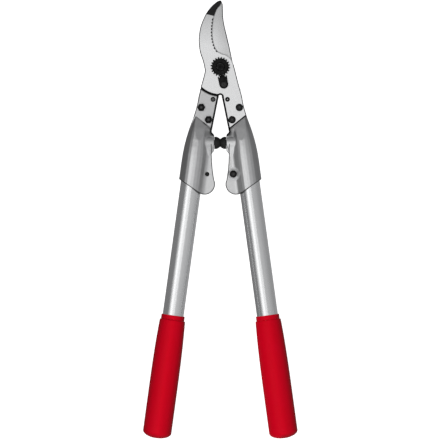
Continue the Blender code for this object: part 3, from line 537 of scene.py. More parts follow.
def grind_steps(edge):
    """Inward step to the top of the grind at each point of the cutting edge"""
    points = [Vector(p) for p in edge]
    steps = {}
    for i, point in enumerate(points[1:-1], 1):
        run = (points[i + 1] - points[i - 1]).normalized()
        from_tip = (point - points[0]).length
        to_heel = (points[-1] - point).length
        width = min(GRIND_WIDTH, GRIND_LEAST + GRIND_TIP_GROWTH * from_tip,
                    GRIND_LEAST + GRIND_HEEL_GROWTH * to_heel)
        steps[tuple(round(c, 6) for c in point)] = Vector((run.y, -run.x)) * width
    return steps


edge = smooth([BLADE_TIP] + BLADE_CUTTING_EDGE)
fork = fork_edge(BLADE_FORK_END)
spine = smooth([fork[-1]] + BLADE_SPINE)
hub = arc(*BLADE_HUB_SPAN, HUB_RADIUS)
outline = edge + hub + smooth(LEG_OUTER_EDGE) + fork[:-1] + spine
bm = plate(above_leg_end(outline), leg_holes + [((0, 0), PIVOT_HOLE)], PLATE_CHAMFER,
           ground=grind_steps(edge), under=spine)
blade_polish = polished_plate("blade_polish", "blade", BLADE_TONES, lines=BLADE_SPINE_LINE)
dress("cutting_blade", bm, "blade", blade_polish, "plate_steel", "blade_plate", crease=5)


# Handle heads: one cast aluminium part used on both sides, bead blasted after fettling.
# Its flat tongue lies on the plate, and its socket is drawn tight on the tube by the lobe.

SKIN_GRAIN = 0.00054
SKIN_SOFTENINGS = 7
BOSS_WEB = [(0.0105, -0.1075, 0.0094), (0.0225, -0.1075, 0.0109),
            (0.0135, -0.1285, 0.0073), (0.0205, -0.1285, 0.0076)]
LOBE_CENTRE = (0.0222, -0.1663)
LOBE_RADIUS = 0.0148
LOBE_HEADING = Vector(polar(235, 1.0))
CLAMP_SCREW_PLACE = (0.0185, -0.1519)
CLAMP_PAD_RADIUS = 0.0105
SOCKET_BEARING = 304.8
SOCKET_START = polar(SOCKET_BEARING, LOBE_RADIUS, LOBE_CENTRE)
SOCKET_LENGTH = 0.060

CAST_PITS = 0.0005
CAST_BLOTCHES = 0.0032
CAST_CLOUDS = 0.009
CAST_TONE = 0.57
CAST_VARIATION = 0.17
CAST_ROUGHNESS = 0.36
CAST_RELIEF = 0.00006
SEAM_WIDTH = 0.00025
# Painted shade: the casting is darker where it is steep, over a wider range on the outer flank.
STEEP_SHADE_LEVEL = 0.61
FILLET_STEEP = (0.42, 0.58)
FLANK_STEEP = (0.77, 0.19)
FLANK_TURN = 0.15
TONGUE_FOOT = -0.0900
TONGUE_FADE = 0.006
TONGUE_SHADE = 0.13
NECK_PLACE = (0.0118, -0.0942)
NECK_REACH = 0.0115
NECK_CORE = 1.12
NECK_FOOT = -0.1012
NECK_FADE = 0.003
NECK_SHADE = 0.97
# Painted shade: black strips along the slot and the neck.
CAST_EDGE_WIDTH = 0.0027
CAST_SHADE_BLACK = 0.02
RIM_WIDTH = 0.0014
RIM_SHADE_TONE = 0.12
NECK_LINE = [(0.0123, -0.0920), (0.0091, -0.0959)]
BOSS_LINE = [(0.0129, -0.1095), (0.0126, -0.1229)]
FLANGE_LINE = [(0.0122, -0.1229), (0.0116, -0.1370), (0.0106, -0.1480), (0.0088, -0.1600)]
SOCKET_LINE = [SOCKET_START, polar(SOCKET_BEARING + 90, SOCKET_LENGTH, SOCKET_START)]
TONGUE_LINE = [(0.0276, -0.0306), (0.0328, -0.0533), (0.0359, -0.0646), (0.0380, -0.0711)]
PAD_EDGE = 0.0015
PAD_TONE = 0.9
PAD_ROUGHENING = 0.35


def cast_skin(side, name):
    """Copy of a head with the soft edges of a casting, and a web that carries the boss"""
    bm = bmesh.new()
    bm.from_mesh(frame["nodes"][side + "_head"].data)
    bmesh.ops.remove_doubles(bm, verts=bm.verts, dist=CAD_WELD_REACH)
    corners = [bm.verts.new(SIDES[side] @ Vector((x, y, turn * z)))
               for x, y, z in BOSS_WEB for turn in (1, -1)]
    bmesh.ops.convex_hull(bm, input=corners)
    mesh = bpy.data.meshes.new(name)
    bm.to_mesh(mesh)
    bm.free()
    cast = bpy.data.objects.new(name, mesh)
    bpy.context.scene.collection.objects.link(cast)
    remesh = cast.modifiers.new("skin", "REMESH")
    remesh.mode = "VOXEL"
    remesh.voxel_size = SKIN_GRAIN
    soften = cast.modifiers.new("soften", "SMOOTH")
    soften.factor = 0.5
    soften.iterations = SKIN_SOFTENINGS
    bpy.context.view_layer.update()
    depsgraph = bpy.context.evaluated_depsgraph_get()
    mesh = bpy.data.meshes.new_from_object(cast.evaluated_get(depsgraph))
    bpy.data.objects.remove(cast)
    mesh.shade_smooth()
    return mesh


def blasted_casting(name, side):
    """Bead-blasted aluminium: fine pits, slow clouds and a faint parting line at mid height.

    Painted shade makes it darker where it is steep, and nearly black at the neck and along the
    slot. The rims are dark lines of painted shade, and the pad under the head of the clamp screw is
    bright."""
    finish = Finish(name, side)
    pits = finish.noise(CAST_PITS, 4)
    clouds = finish.noise(CAST_CLOUDS, 4)
    blotches = finish.noise(CAST_BLOTCHES, 3)
    share = (pits.swing(0.8) + clouds.swing(0.6) + blotches.swing(0.6) + 0.5).clamp()
    length, height = finish.along((0, 1, 0)), finish.along((0, 0, 1))
    # painted shade: darker where steep, over a wider range on the outer flank
    fillet, flank = (((abs(finish.outward()) - start) / run).clamp()
                     for start, run in (FILLET_STEEP, FLANK_STEEP))
    flat = fillet.towards(flank, finish.facing(0) * SIDES[side][0][0] > FLANK_TURN)
    level = (CAST_TONE + CAST_VARIATION * share) * (STEEP_SHADE_LEVEL + (1.0 - STEEP_SHADE_LEVEL) * flat)
    level = level * (1.0 - TONGUE_SHADE * ((length - TONGUE_FOOT) / TONGUE_FADE).clamp())
    # painted shade: the neck is darkened, and black strips run along the slot and the neck
    neck = (NECK_CORE - finish.distance(NECK_PLACE) / NECK_REACH).clamp() * (
        (length - NECK_FOOT) / NECK_FADE).clamp()
    level = level * (1.0 - NECK_SHADE * neck)
    black = finish.strip(LEG_INNER_TOP, LEG_INNER_FOOT, CAST_EDGE_WIDTH, SOFT_EDGE)
    black = black + finish.strip(*NECK_LINE, CAST_EDGE_WIDTH, SOFT_EDGE)
    # painted shade: dark lines along the rims of the lobe, boss, flange, socket end and tongue
    from_rim = abs(finish.distance(LOBE_CENTRE) - LOBE_RADIUS + RIM_WIDTH / 3)
    lobe_end = (finish.along((*LOBE_HEADING, 0))
                > LOBE_HEADING.dot(LOBE_CENTRE) + LOBE_RADIUS / 4)
    dark = (1.5 - 1.5 / RIM_WIDTH * from_rim).clamp() * lobe_end
    dark = dark + finish.strip(*BOSS_LINE, RIM_WIDTH / 2, SOFT_EDGE)
    for line in (FLANGE_LINE, SOCKET_LINE, TONGUE_LINE):
        for start, end in zip(line, line[1:]):
            dark = dark + finish.strip(start, end, RIM_WIDTH, SOFT_EDGE)
    pad = ((CLAMP_PAD_RADIUS - finish.distance(CLAMP_SCREW_PLACE)) / PAD_EDGE).clamp() * (
        height > 0.0)
    level = level.towards(PAD_TONE, pad).towards(RIM_SHADE_TONE, dark.clamp())
    level = level.towards(CAST_SHADE_BLACK, black.clamp())
    seam = abs(height) < SEAM_WIDTH
    finish.relief(pits * 0.7 + clouds * 0.8 + seam * 0.6, CAST_RELIEF)
    return finish.set(
        base_color=finish.grey(level), metallic=1.0,
        roughness=CAST_ROUGHNESS + pits.swing(0.16) + clouds.swing(0.10) + PAD_ROUGHENING * pad)


for side in SIDES:
    mesh = cast_skin(side, side + "_casting")
    mesh.materials.clear()
    mesh.materials.append(blasted_casting(side + "_casting_skin", side))
    casting = bpy.data.objects.new(side + "_casting", mesh)
    bpy.context.scene.collection.objects.link(casting)
    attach(casting, side + "_side")
    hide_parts(side + "_head")


# Handle tubes: drawn aluminium, 30 mm across, satin anodised, with the fine lengthwise lines
# of the draw. Each sits in the socket of its casting at one end and in its grip at the other.

HANDLE_LEAN = 7.8
HANDLE_OFFSET = 0.0184
TUBE_RADIUS = 0.015
TUBE_WALL = 0.0016
TUBE_START = 0.130
TUBE_END = 0.530
TUBE_CHAMFER = 0.0004

DRAW_LINES = 0.0005
DRAW_LINE_RUN = 90
DRAW_BANDS = 0.0030
DRAW_BAND_RUN = 30
TUBE_CLOUDS = 0.02
TUBE_DULL = (0.74, 0.745, 0.75, 1)
TUBE_BRIGHT = (0.84, 0.845, 0.85, 1)
TUBE_ROUGHNESS = 0.25
TUBE_RELIEF = 0.000012


def handle_axis():
    """Frame of a handle: Z up its axis, beside the pivot, and X outwards"""
    lean = math.radians(HANDLE_LEAN)
    turn = Matrix.Rotation(lean, 4, "Z") @ Matrix.Rotation(-math.pi / 2, 4, "X")
    foot = Vector((*polar(HANDLE_LEAN, HANDLE_OFFSET), 0))
    return Matrix.Translation(foot) @ turn


def spun(profile, steps=64, place=Matrix.Identity(4)):
    """Round piece about Z from a profile of (radius, height)"""
    bm = bmesh.new()
    corners = [bm.verts.new((radius, 0, height)) for radius, height in profile]
    edges = [bm.edges.new(pair) for pair in zip(corners, corners[1:])]
    bmesh.ops.spin(bm, geom=corners + edges, cent=(0, 0, 0), axis=(0, 0, 1), steps=steps,
                   angle=2 * math.pi, use_merge=True)
    bmesh.ops.transform(bm, matrix=place, verts=bm.verts)
    return bm


def satin_tube(name, side):
    """Anodised aluminium whose draw lines run down the tube"""
    finish = Finish(name, side, handle_axis())
    lines = finish.noise(DRAW_LINES, 4, (1, 1, DRAW_LINE_RUN))
    bands = finish.noise(DRAW_BANDS, 3, (1, 1, DRAW_BAND_RUN))
    clouds = finish.noise(TUBE_CLOUDS, 3)
    share = (lines.swing(0.5) + bands.swing(0.5) + clouds.swing(0.5) + 0.5).clamp()
    finish.relief(lines + bands * 0.5, TUBE_RELIEF)
    return finish.set(base_color=finish.blend(share, TUBE_DULL, TUBE_BRIGHT), metallic=1.0,
                      roughness=TUBE_ROUGHNESS + lines.swing(0.10) + clouds.swing(0.08))


wall = [(TUBE_RADIUS, -TUBE_START - TUBE_CHAMFER), (TUBE_RADIUS - TUBE_CHAMFER, -TUBE_START),
        (TUBE_RADIUS - TUBE_WALL, -TUBE_START), (TUBE_RADIUS - TUBE_WALL, -TUBE_END),
        (TUBE_RADIUS, -TUBE_END), (TUBE_RADIUS, -TUBE_START - TUBE_CHAMFER)]
for side in SIDES:
    dress(side + "_satin_tube", spun(wall, 96, handle_axis()), side,
          satin_tube(side + "_satin", side), "tube_aluminium", side + "_tube")


# Grips: red soft plastic, dip moulded over the tube, with a thin collar, a slow swell to the
# palm and a closed round end. The surface is smooth, with the faint orange skin of the dip.

GRIP_LENGTH = 0.176
GRIP_BORE = 0.0153
GRIP_END = 0.5337
GRIP_PLAY = 0.0003
COLLAR_RADIUS = 0.0166
COLLAR_HEIGHT = 0.0058
COLLAR_EDGE = 0.0006
COLLAR_FOOT_INSET = 0.0005
SHOULDER_GAP = 0.0009
SHOULDER_DROP = 0.0013
THROAT_RADIUS = 0.0181
PALM_RADIUS = 0.0203
GRIP_SWELL = 0.110
GRIP_DOME = 0.0095
GATE_MARK = [(0.0034, 0.0002), (0.0030, 0.0006), (0, 0.0006)]

GRIP_SKIN = 0.0012
GRIP_CLOUDS = 0.014
GRIP_DEEP_RED = (0.97, 0.0003, 0.016, 1)
GRIP_RED = (1.0, 0.0005, 0.023, 1)
GRIP_SHADE = (0.10, 0.0002, 0.004, 1)
GRIP_ROUGHNESS = 0.46
GRIP_SHEEN = 0.05
GRIP_RELIEF = 0.00006
# Painted shade darkens the flanks of the grips.
FLANK_LIMIT = 0.8
RIGHT_SHADES = (0.42, 0.55)
LEFT_SHADES = {"hook": (0.0, 0.0), "blade": (0.30, 0.35)}


def grip_profile():
    """Closed profile of a grip: collar, shoulder, swell, domed end with a gate mark, and bore"""
    top = GRIP_LENGTH - GRIP_END
    foot = top - COLLAR_HEIGHT
    edge = COLLAR_RADIUS - COLLAR_EDGE
    profile = [(GRIP_BORE, top)]
    profile += [(x, top + y) for x, y in arc(90, 0, COLLAR_EDGE, (edge, -COLLAR_EDGE), 5)]
    profile += [(x, foot + y) for x, y in arc(0, -60, COLLAR_EDGE, (edge, 0), 5)]
    profile += [(COLLAR_RADIUS - COLLAR_FOOT_INSET, foot - SHOULDER_GAP)]
    for i in range(7):
        turn = math.pi / 12 * i
        profile.append((COLLAR_RADIUS + (THROAT_RADIUS - COLLAR_RADIUS) * math.sin(turn),
                        foot - SHOULDER_GAP - SHOULDER_DROP * (1 - math.cos(turn))))
    for i in range(1, 25):
        ease = 1 - (1 - i / 24) ** 3
        profile.append((THROAT_RADIUS + (PALM_RADIUS - THROAT_RADIUS) * ease,
                        foot - SHOULDER_GAP - SHOULDER_DROP - GRIP_SWELL * i / 24))
    for i in range(16):
        turn = math.radians(5 * i)
        profile.append((PALM_RADIUS * math.cos(turn),
                        GRIP_DOME * (1 - math.sin(turn)) - GRIP_END))
    profile += [(radius, height - GRIP_END) for radius, height in GATE_MARK]
    bore_end = -TUBE_END - GRIP_PLAY
    return profile + [(0, bore_end), (GRIP_BORE, bore_end), (GRIP_BORE, top)]


def soft_red(name, side):
    """Red soft plastic with an uneven sheen, darker down its flanks with painted shade.

    Each pair of shades is for the slope towards one side and for the rim beyond it."""
    finish = Finish(name, side)
    skin = finish.noise(GRIP_SKIN, 3)
    clouds = finish.noise(GRIP_CLOUDS, 3)
    colour = finish.blend((clouds.swing(1.4) + 0.5).clamp(), GRIP_DEEP_RED, GRIP_RED)
    # painted shade: darker down the flanks, unevenly to the two sides
    flank = ((FLANK_LIMIT - abs(finish.outward())) / FLANK_LIMIT).clamp()
    across = finish.facing(0)
    shade = 0.0
    for turn, (slope, rim) in ((across, RIGHT_SHADES), (0.0 - across, LEFT_SHADES[side])):
        shade = shade + turn.clamp() * slope + flank * (turn > 0.0) * rim
    finish.relief(skin * 0.5 + clouds, GRIP_RELIEF)
    return finish.set(base_color=finish.blend(shade, colour, GRIP_SHADE),
                      roughness=GRIP_ROUGHNESS + skin.swing(0.10) + clouds.swing(0.10),
                      specular_ior_level=GRIP_SHEEN)


for side in SIDES:
    grip = dress(side + "_red_grip", spun(grip_profile(), 96, handle_axis()), side,
                 soft_red(side + "_red", side), "red_grip", side + "_grip")
    grip.visible_glossy = False  # the satin of the tube across from it shows no red line


# Buffers: moulded rubber stops, pressed into the bosses of the heads. They meet face to face
# when the blades are shut, and spare the hands the shock.

BUFFER_DROP = 0.1077
BUFFER_SEAT = 0.0087
BUFFER_RADIUS = 0.0087
BUFFER_FACE_RADIUS = 0.0054
BUFFER_LENGTH = 0.0087
BUFFER_RIM = 0.0032
BUFFER_BULGE = 1.6
BUFFER_FOOT = [(0.0, 0.0009), (-0.0003, 0.0006), (-0.0003, 0.0003)]
BUFFER_STEM = 0.004
BUFFER_STEM_LENGTH = 0.006
STEM_EASE = (0.0008, 0.001)
BLACK_RELIEF = 0.00003


def black_finish(name, side, dark, light, roughness, metallic, grain):
    """Dark finish with a fine speckle that catches the light"""
    finish = Finish(name, side)
    speckle = finish.noise(grain, 4)
    clouds = finish.noise(grain * 9, 2)
    share = (speckle.swing(1.2) + clouds.swing(0.8) + 0.4).clamp()
    colour = finish.blend(share, (dark, dark, dark, 1), (light, light, light * 1.02, 1))
    finish.relief(speckle * 0.6 + clouds, BLACK_RELIEF)
    return finish.set(base_color=colour, metallic=metallic,
                      roughness=roughness + speckle.swing(0.14))


dome = BUFFER_LENGTH - BUFFER_RIM
width = BUFFER_RADIUS - BUFFER_FACE_RADIUS
profile = [(0, BUFFER_LENGTH)]
profile += [(BUFFER_FACE_RADIUS + width * math.sin(math.pi / 32 * i) ** BUFFER_BULGE,
             BUFFER_RIM + dome * max(math.cos(math.pi / 32 * i), 0) ** BUFFER_BULGE)
            for i in range(17)]
profile += [(BUFFER_RADIUS + step, height) for step, height in BUFFER_FOOT]
profile += [(BUFFER_STEM, BUFFER_FOOT[-1][1]), (BUFFER_STEM, STEM_EASE[1] - BUFFER_STEM_LENGTH),
            (BUFFER_STEM - STEM_EASE[0], -BUFFER_STEM_LENGTH), (0, -BUFFER_STEM_LENGTH)]
seat = Matrix.Translation((BUFFER_SEAT, -BUFFER_DROP, 0)) @ Matrix.Rotation(-math.pi / 2, 4, "Y")
for side in SIDES:
    rubber = black_finish(side + "_rubber", side, dark=0.003, light=0.010, roughness=0.66,
                          metallic=0.0, grain=0.0008)
    dress(side + "_rubber_buffer", spun(profile, 64, seat), side, rubber, "black_rubber",
          side + "_buffer")


# Pivot bolt and nut: blackened steel. The bolt goes through both plates from behind, and the
# toothed nut draws them together. The nut is turned a tooth at a time to set the play.

NUT_TEETH = 20
NUT_TIP_RADIUS = 0.0138
NUT_ROOT_RADIUS = 0.0106
NUT_LOW = 0.00545
NUT_TOP = 0.01005
NUT_CHAMFER = 0.0004
NUT_PLAY = 0.0003
TIP_SHARE = 0.15
ROOT_SHARE = 0.46
PIVOT_RADIUS = 0.006
PIVOT_HEAD_RADIUS = 0.012
PIVOT_HEAD_TOP = -0.00545
PIVOT_HEAD_EASE = 0.0003
PIVOT_HEAD_EDGE = 0.0028
PIVOT_HEAD_EDGE_HEIGHT = -0.0064
PIVOT_END = [(0, 0.0083), (0.0009, 0.0083), (0.0016, 0.0090), (0.0036, 0.0090),
             (0.0038, 0.00925), (0.0053, 0.00945), (0.0060, 0.0089)]
PIVOT_CUP = [(0.0035, -0.00925), (0.0028, -0.0088), (0, -0.0088)]

PIVOT_SPECKLE = 0.0007
PIVOT_CLOUDS = 0.003
PIVOT_TONE = 0.004
SPECKLE_TONE = 0.012
RAY_SPREAD = 0.14
RAY_TONE = 0.016
# Painted highlight: the patchy grey ring round the bolt's end.
GLINT_RING = 0.0049
GLINT_WIDTH = 0.0009
GLINT_TONE = 0.05
GLINT_START = 0.42
GLINT_CONTRAST = 6.0


def toothed_finish(name):
    """Blackened steel with marks that run out from the centre, and a patchy grey ring round the
    bolt that is a painted highlight
    """
    finish = Finish(name, "hook")
    speckle = finish.noise(PIVOT_SPECKLE, 4)
    clouds = finish.noise(PIVOT_CLOUDS, 2)
    flat = finish.node("ShaderNodeVectorMath", {"operation": "MULTIPLY"},
                       [finish.place, (1, 1, 0)])
    heading = finish.node("ShaderNodeVectorMath", {"operation": "NORMALIZE"}, [flat])
    rays = finish.noise(RAY_SPREAD, 2, place=heading).swing(4.0).clamp()
    # painted highlight: a patchy grey ring round the bolt's end
    ring_glint = (1.0 - abs(finish.distance() - GLINT_RING) / GLINT_WIDTH).clamp() * (
        (clouds - GLINT_START) * GLINT_CONTRAST).clamp()
    level = PIVOT_TONE + SPECKLE_TONE * speckle + RAY_TONE * rays + GLINT_TONE * ring_glint
    finish.relief(speckle * 0.6 + clouds, BLACK_RELIEF)
    return finish.set(base_color=finish.grey(level), metallic=0.9, roughness=0.40)


star = []
for tooth in range(NUT_TEETH):
    for share, radius in ((-ROOT_SHARE, NUT_ROOT_RADIUS), (-TIP_SHARE, NUT_TIP_RADIUS),
                          (TIP_SHARE, NUT_TIP_RADIUS), (ROOT_SHARE, NUT_ROOT_RADIUS)):
        star.append(polar(SEGMENT_BEARING + (tooth + share) * 360 / NUT_TEETH, radius))
bm = plate(star, [((0, 0), PIVOT_RADIUS + NUT_PLAY)], NUT_CHAMFER, NUT_LOW, NUT_TOP)
pivot_black = toothed_finish("pivot_black")
dress("toothed_nut", bm, "hook", pivot_black, "black_steel", "pivot_nut")

profile = PIVOT_END + [(PIVOT_RADIUS, PIVOT_HEAD_TOP),
                       (PIVOT_HEAD_RADIUS - PIVOT_HEAD_EASE, PIVOT_HEAD_TOP),
                       (PIVOT_HEAD_RADIUS, PIVOT_HEAD_TOP - PIVOT_HEAD_EASE)]
profile += arc(0, -80, PIVOT_HEAD_EDGE,
               (PIVOT_HEAD_RADIUS - PIVOT_HEAD_EDGE, PIVOT_HEAD_EDGE_HEIGHT), 10)
profile += PIVOT_CUP
dress("centre_bolt", spun(profile), "hook", pivot_black, "black_steel", "pivot_bolt")


# Lock segment and its screw: a toothed segment of blackened steel that meshes with the nut, so
# that it can't work loose. A button-head screw in the plate holds it.

LOCK_SCREW_SEAT = 0.00875
SEGMENT_EASE = 0.0002
CROWN_SHARE = 0.62
CROWN_SPREAD = 1.25
HEAD_FOOT_INSET = 0.0002
HEAD_FOOT_HEIGHT = 0.0003
KEY_EASE = 0.0002
KEY_DISH = 0.0004
KEY_FLAT_SHARE = 0.7
THREAD_SHARE = 0.55
THREAD_DEPTH = 0.00028
THREAD_EASE = 0.0001
POINT_EASE = 0.0006

FASTENER_SPECKLE = 0.0006


def eased_copy(node, side, width):
    """Mesh of a CAD node in the frame of its side, with its edges eased by a width"""
    bm = bmesh.new()
    bm.from_mesh(frame["nodes"][node].data)
    bmesh.ops.remove_doubles(bm, verts=bm.verts, dist=CAD_WELD_REACH)
    bmesh.ops.dissolve_limit(bm, angle_limit=math.radians(1), verts=bm.verts, edges=bm.edges)
    bm.normal_update()
    sharp = [edge for edge in bm.edges
             if len(edge.link_faces) == 2 and edge.calc_face_angle() > math.radians(40)]
    bmesh.ops.bevel(bm, geom=sharp, offset=width, segments=2, affect="EDGES", profile=0.5,
                    material=-1, clamp_overlap=True)
    bmesh.ops.transform(bm, matrix=SIDES[side].inverted(), verts=bm.verts)
    return bm


def hexagon_reach(vert):
    """Share of the corner radius at which a hexagon's side lies at the bearing of a vertex"""
    bearing = math.degrees(math.atan2(vert.co.y, vert.co.x))
    return math.cos(math.radians(30)) / math.cos(math.radians((bearing + 30) % 60 - 30))


def screw(place, shank, length, head_radius, head_height, key_width, key_depth, pitch):
    """Button-head screw whose head stands on the place given, with a six-sided key hole"""
    corner = key_width / math.sqrt(3)
    floor = head_height - key_depth
    profile = [(0, floor - KEY_DISH), (corner * KEY_FLAT_SHARE, floor), (corner, floor),
               (corner, head_height - KEY_EASE), (corner + KEY_EASE, head_height)]
    crown = head_height * CROWN_SHARE
    profile += [(head_radius - crown * CROWN_SPREAD * (1 - math.sin(math.pi / 20 * i)),
                 head_height - crown * (1 - math.cos(math.pi / 20 * i))) for i in range(11)]
    profile += [(head_radius, HEAD_FOOT_HEIGHT), (head_radius - HEAD_FOOT_INSET, 0), (shank, 0)]
    turns = int(length * THREAD_SHARE / pitch)
    for i in range(turns):
        level = POINT_EASE - length + pitch * (turns - i)
        profile += [(shank, level), (shank - THREAD_DEPTH, level - pitch / 2)]
    profile += [(shank - THREAD_EASE, POINT_EASE - length), (shank - POINT_EASE, -length),
                (0, -length)]
    bm = spun(profile, steps=48)
    for vert in bm.verts:
        if vert.co.xy.length < corner + 1.5 * KEY_EASE and vert.co.z > floor - KEY_EASE / 2:
            vert.co.xy *= hexagon_reach(vert)
    bmesh.ops.translate(bm, vec=place, verts=bm.verts)
    return bm


segment_black = black_finish("segment_black", "hook", dark=0.004, light=0.022, roughness=0.42,
                             metallic=0.85, grain=FASTENER_SPECKLE)
dress("toothed_segment", eased_copy("lock_segment", "hook", SEGMENT_EASE), "hook",
      segment_black, "black_steel", "lock_segment")
bm = screw((*LOCK_SCREW_PLACE, LOCK_SCREW_SEAT), shank=0.0022, length=0.0078,
           head_radius=0.0042, head_height=0.0024, key_width=0.0025, key_depth=0.0014,
           pitch=0.0007)
screw_black = black_finish("segment_screw_black", "hook", dark=0.02, light=0.07, roughness=0.30,
                           metallic=0.9, grain=FASTENER_SPECKLE)
dress("segment_screw", bm, "hook", screw_black, "black_steel", "lock_screw")


# Leg fasteners: two button-head bolts with hexagon nuts and a hollow rivet hold each plate to
# its tongue. A screw with a taller head closes the clamp lobe. All are blackened steel.

BOLT_SEAT = 0.00545
NUT_SEAT = -0.01075
BOLT_LENGTH = 0.0174
BOLT_RADIUS = 0.003
BOLT_HEAD_RADIUS = 0.0053
LEG_NUT_WIDTH = 0.010
LEG_NUT_HEIGHT = 0.0045
LEG_NUT_PLAY = 0.0003
LEG_NUT_CORNER_EASE = 0.0005
LEG_NUT_FACE_INSET = 0.0001
LEG_NUT_BORE_EASE = 0.0004
RIVET_TOP = 0.00545
RIVET_LOW = -0.00625
RIVET_RIM = [(0.0029, 0.0006), (0.0034, 0.0002), (0.0034, 0), (0.0024, 0)]
RIVET_FRONT_CUP = [(0, -0.0012), (0.0007, -0.0010), (0.0007, 0)]
RIVET_BACK_CUP = [(0.0018, -0.0006), (0.0014, -0.0002), (0, -0.0002)]
ROLL_RADIUS = 0.0012
ROLL_WIDTH = 0.0005
ROLL_HEIGHT = 0.0006
CLAMP_SCREW_SEAT = 0.0103
CLAMP_SCREW_LENGTH = 0.0174

RIVET_TONE = 0.002
RIVET_SPECKLE_TONE = 0.012
GREY_CUP_RADIUS = 0.0022
GREY_CUP_TONE = 0.07
# Painted highlight: the bright spot in the small cup in front.
HIGHLIGHT_CUP_RADIUS = 0.0008
HIGHLIGHT_CUP_TONE = 0.6
BOLT_TONE = 0.006
BOLT_SPECKLE_TONE = 0.024
# Painted highlight: the lighter middle of the bolts.
HIGHLIGHT_RADIUS = 0.0028
HIGHLIGHT_TONE = 0.02
GREY_SPECKLE_TONE = 0.06


def hexagon_nut(place):
    """Nut with its corners turned down on both faces"""
    corner = LEG_NUT_WIDTH / math.sqrt(3)
    bore = BOLT_RADIUS + LEG_NUT_PLAY
    mouth = bore + LEG_NUT_BORE_EASE
    flat = LEG_NUT_WIDTH / 2 - LEG_NUT_FACE_INSET
    ease = LEG_NUT_CORNER_EASE
    profile = [(mouth, LEG_NUT_HEIGHT)]
    profile += [(flat + (corner - flat) * i / 5, LEG_NUT_HEIGHT - ease * i / 5) for i in range(6)]
    profile += [(corner + (flat - corner) * i / 5, ease - ease * i / 5) for i in range(6)]
    profile += [(mouth, 0), (bore, LEG_NUT_BORE_EASE), (bore, LEG_NUT_HEIGHT - LEG_NUT_BORE_EASE),
                (mouth, LEG_NUT_HEIGHT)]
    bm = spun(profile, steps=48)
    for vert in bm.verts:
        reach = vert.co.xy.length
        vert.co.xy *= min(1.0, corner * hexagon_reach(vert) / reach)
    bmesh.ops.rotate(bm, cent=(0, 0, 0), matrix=Matrix.Rotation(math.radians(30), 3, "Z"),
                     verts=bm.verts)
    bmesh.ops.translate(bm, vec=place, verts=bm.verts)
    return bm


def rivet(place):
    """Rivet rolled over at both ends, with a deep cup at the plate and a shallow one at the back"""
    roll = [(ROLL_RADIUS + ROLL_WIDTH * math.cos(turn), ROLL_HEIGHT * math.sin(turn))
            for turn in (math.radians(150), math.radians(120), math.radians(90))]
    profile = [(radius, RIVET_TOP + height)
               for radius, height in RIVET_FRONT_CUP + roll + RIVET_RIM]
    profile += [(radius, RIVET_LOW - height) for radius, height in reversed(RIVET_RIM)]
    profile += [(radius, RIVET_LOW + height) for radius, height in RIVET_BACK_CUP]
    bm = spun(profile, steps=40)
    bmesh.ops.translate(bm, vec=place, verts=bm.verts)
    return bm


def rivet_finish(name, side):
    """Black, grey in the cup at the back, with a painted highlight in the small cup in front"""
    finish = Finish(name, side)
    speckle = finish.noise(FASTENER_SPECKLE, 4)
    reach = finish.distance(RIVET_PLACE)
    front = finish.along((0, 0, 1)) > 0.0
    level = RIVET_TONE + RIVET_SPECKLE_TONE * speckle
    level = level + (GREY_CUP_TONE + GREY_SPECKLE_TONE * speckle) * (
        reach < GREY_CUP_RADIUS) * (1.0 - front)
    # painted highlight: a bright spot in the small cup in front
    level = level + HIGHLIGHT_CUP_TONE * (reach < HIGHLIGHT_CUP_RADIUS) * front
    finish.relief(speckle, BLACK_RELIEF)
    return finish.set(base_color=finish.grey(level), metallic=0.85, roughness=0.4)


def black_with_highlight(name, side, place, lowest):
    """Blackened steel with a painted highlight: grey in the middle of a bolt above the lowest
    height given
    """
    finish = Finish(name, side)
    speckle = finish.noise(FASTENER_SPECKLE, 4)
    # painted highlight: lighter in the middle of the head and of the bolt's end
    bright_middle = (1.0 - finish.distance(place) / HIGHLIGHT_RADIUS).clamp() * (
        finish.along((0, 0, 1)) > lowest)
    level = BOLT_TONE + BOLT_SPECKLE_TONE * speckle + (
        HIGHLIGHT_TONE + GREY_SPECKLE_TONE * speckle) * bright_middle
    finish.relief(speckle, BLACK_RELIEF)
    return finish.set(base_color=finish.grey(level), metallic=0.85,
                      roughness=0.34 + speckle.swing(0.14))


for side in SIDES:
    black = black_finish(side + "_fastener_black", side, dark=0.006, light=0.03, roughness=0.34,
                         metallic=0.85, grain=FASTENER_SPECKLE)
    for level, place in (("upper", UPPER_BOLT_PLACE), ("lower", LOWER_BOLT_PLACE)):
        bm = screw((*place, BOLT_SEAT), shank=BOLT_RADIUS, length=BOLT_LENGTH,
                   head_radius=BOLT_HEAD_RADIUS, head_height=0.0032, key_width=0.004,
                   key_depth=0.0018, pitch=0.0008)
        dress(f"{side}_{level}_button_bolt", bm, side,
              black_with_highlight(f"{side}_{level}_bolt_black", side, place, -BOLT_LENGTH),
              "black_steel", f"{side}_{level}_bolt")
        dress(f"{side}_{level}_hexagon_nut", hexagon_nut((*place, NUT_SEAT)), side, black,
              "black_steel", f"{side}_{level}_nut", crease=25)
    dress(side + "_hollow_rivet", rivet((*RIVET_PLACE, 0)), side,
          rivet_finish(side + "_rivet_black", side), "black_steel", side + "_rivet")
    bm = screw((*CLAMP_SCREW_PLACE, CLAMP_SCREW_SEAT), shank=0.0025, length=CLAMP_SCREW_LENGTH,
               head_radius=BOLT_HEAD_RADIUS, head_height=0.0042, key_width=0.004,
               key_depth=0.0022, pitch=0.0008)
    dress(side + "_lobe_screw", bm, side,
          black_with_highlight(side + "_lobe_screw_black", side, CLAMP_SCREW_PLACE, 0.0),
          "black_steel", side + "_clamp_screw")


# Studio: a white floor, two soft boxes overhead, a strip to the left that draws the streaks on
# the round parts, and two weak lights for the far and the near side. The walls are dim, and
# lighter to the right. The camera looks straight down, as in the photograph.

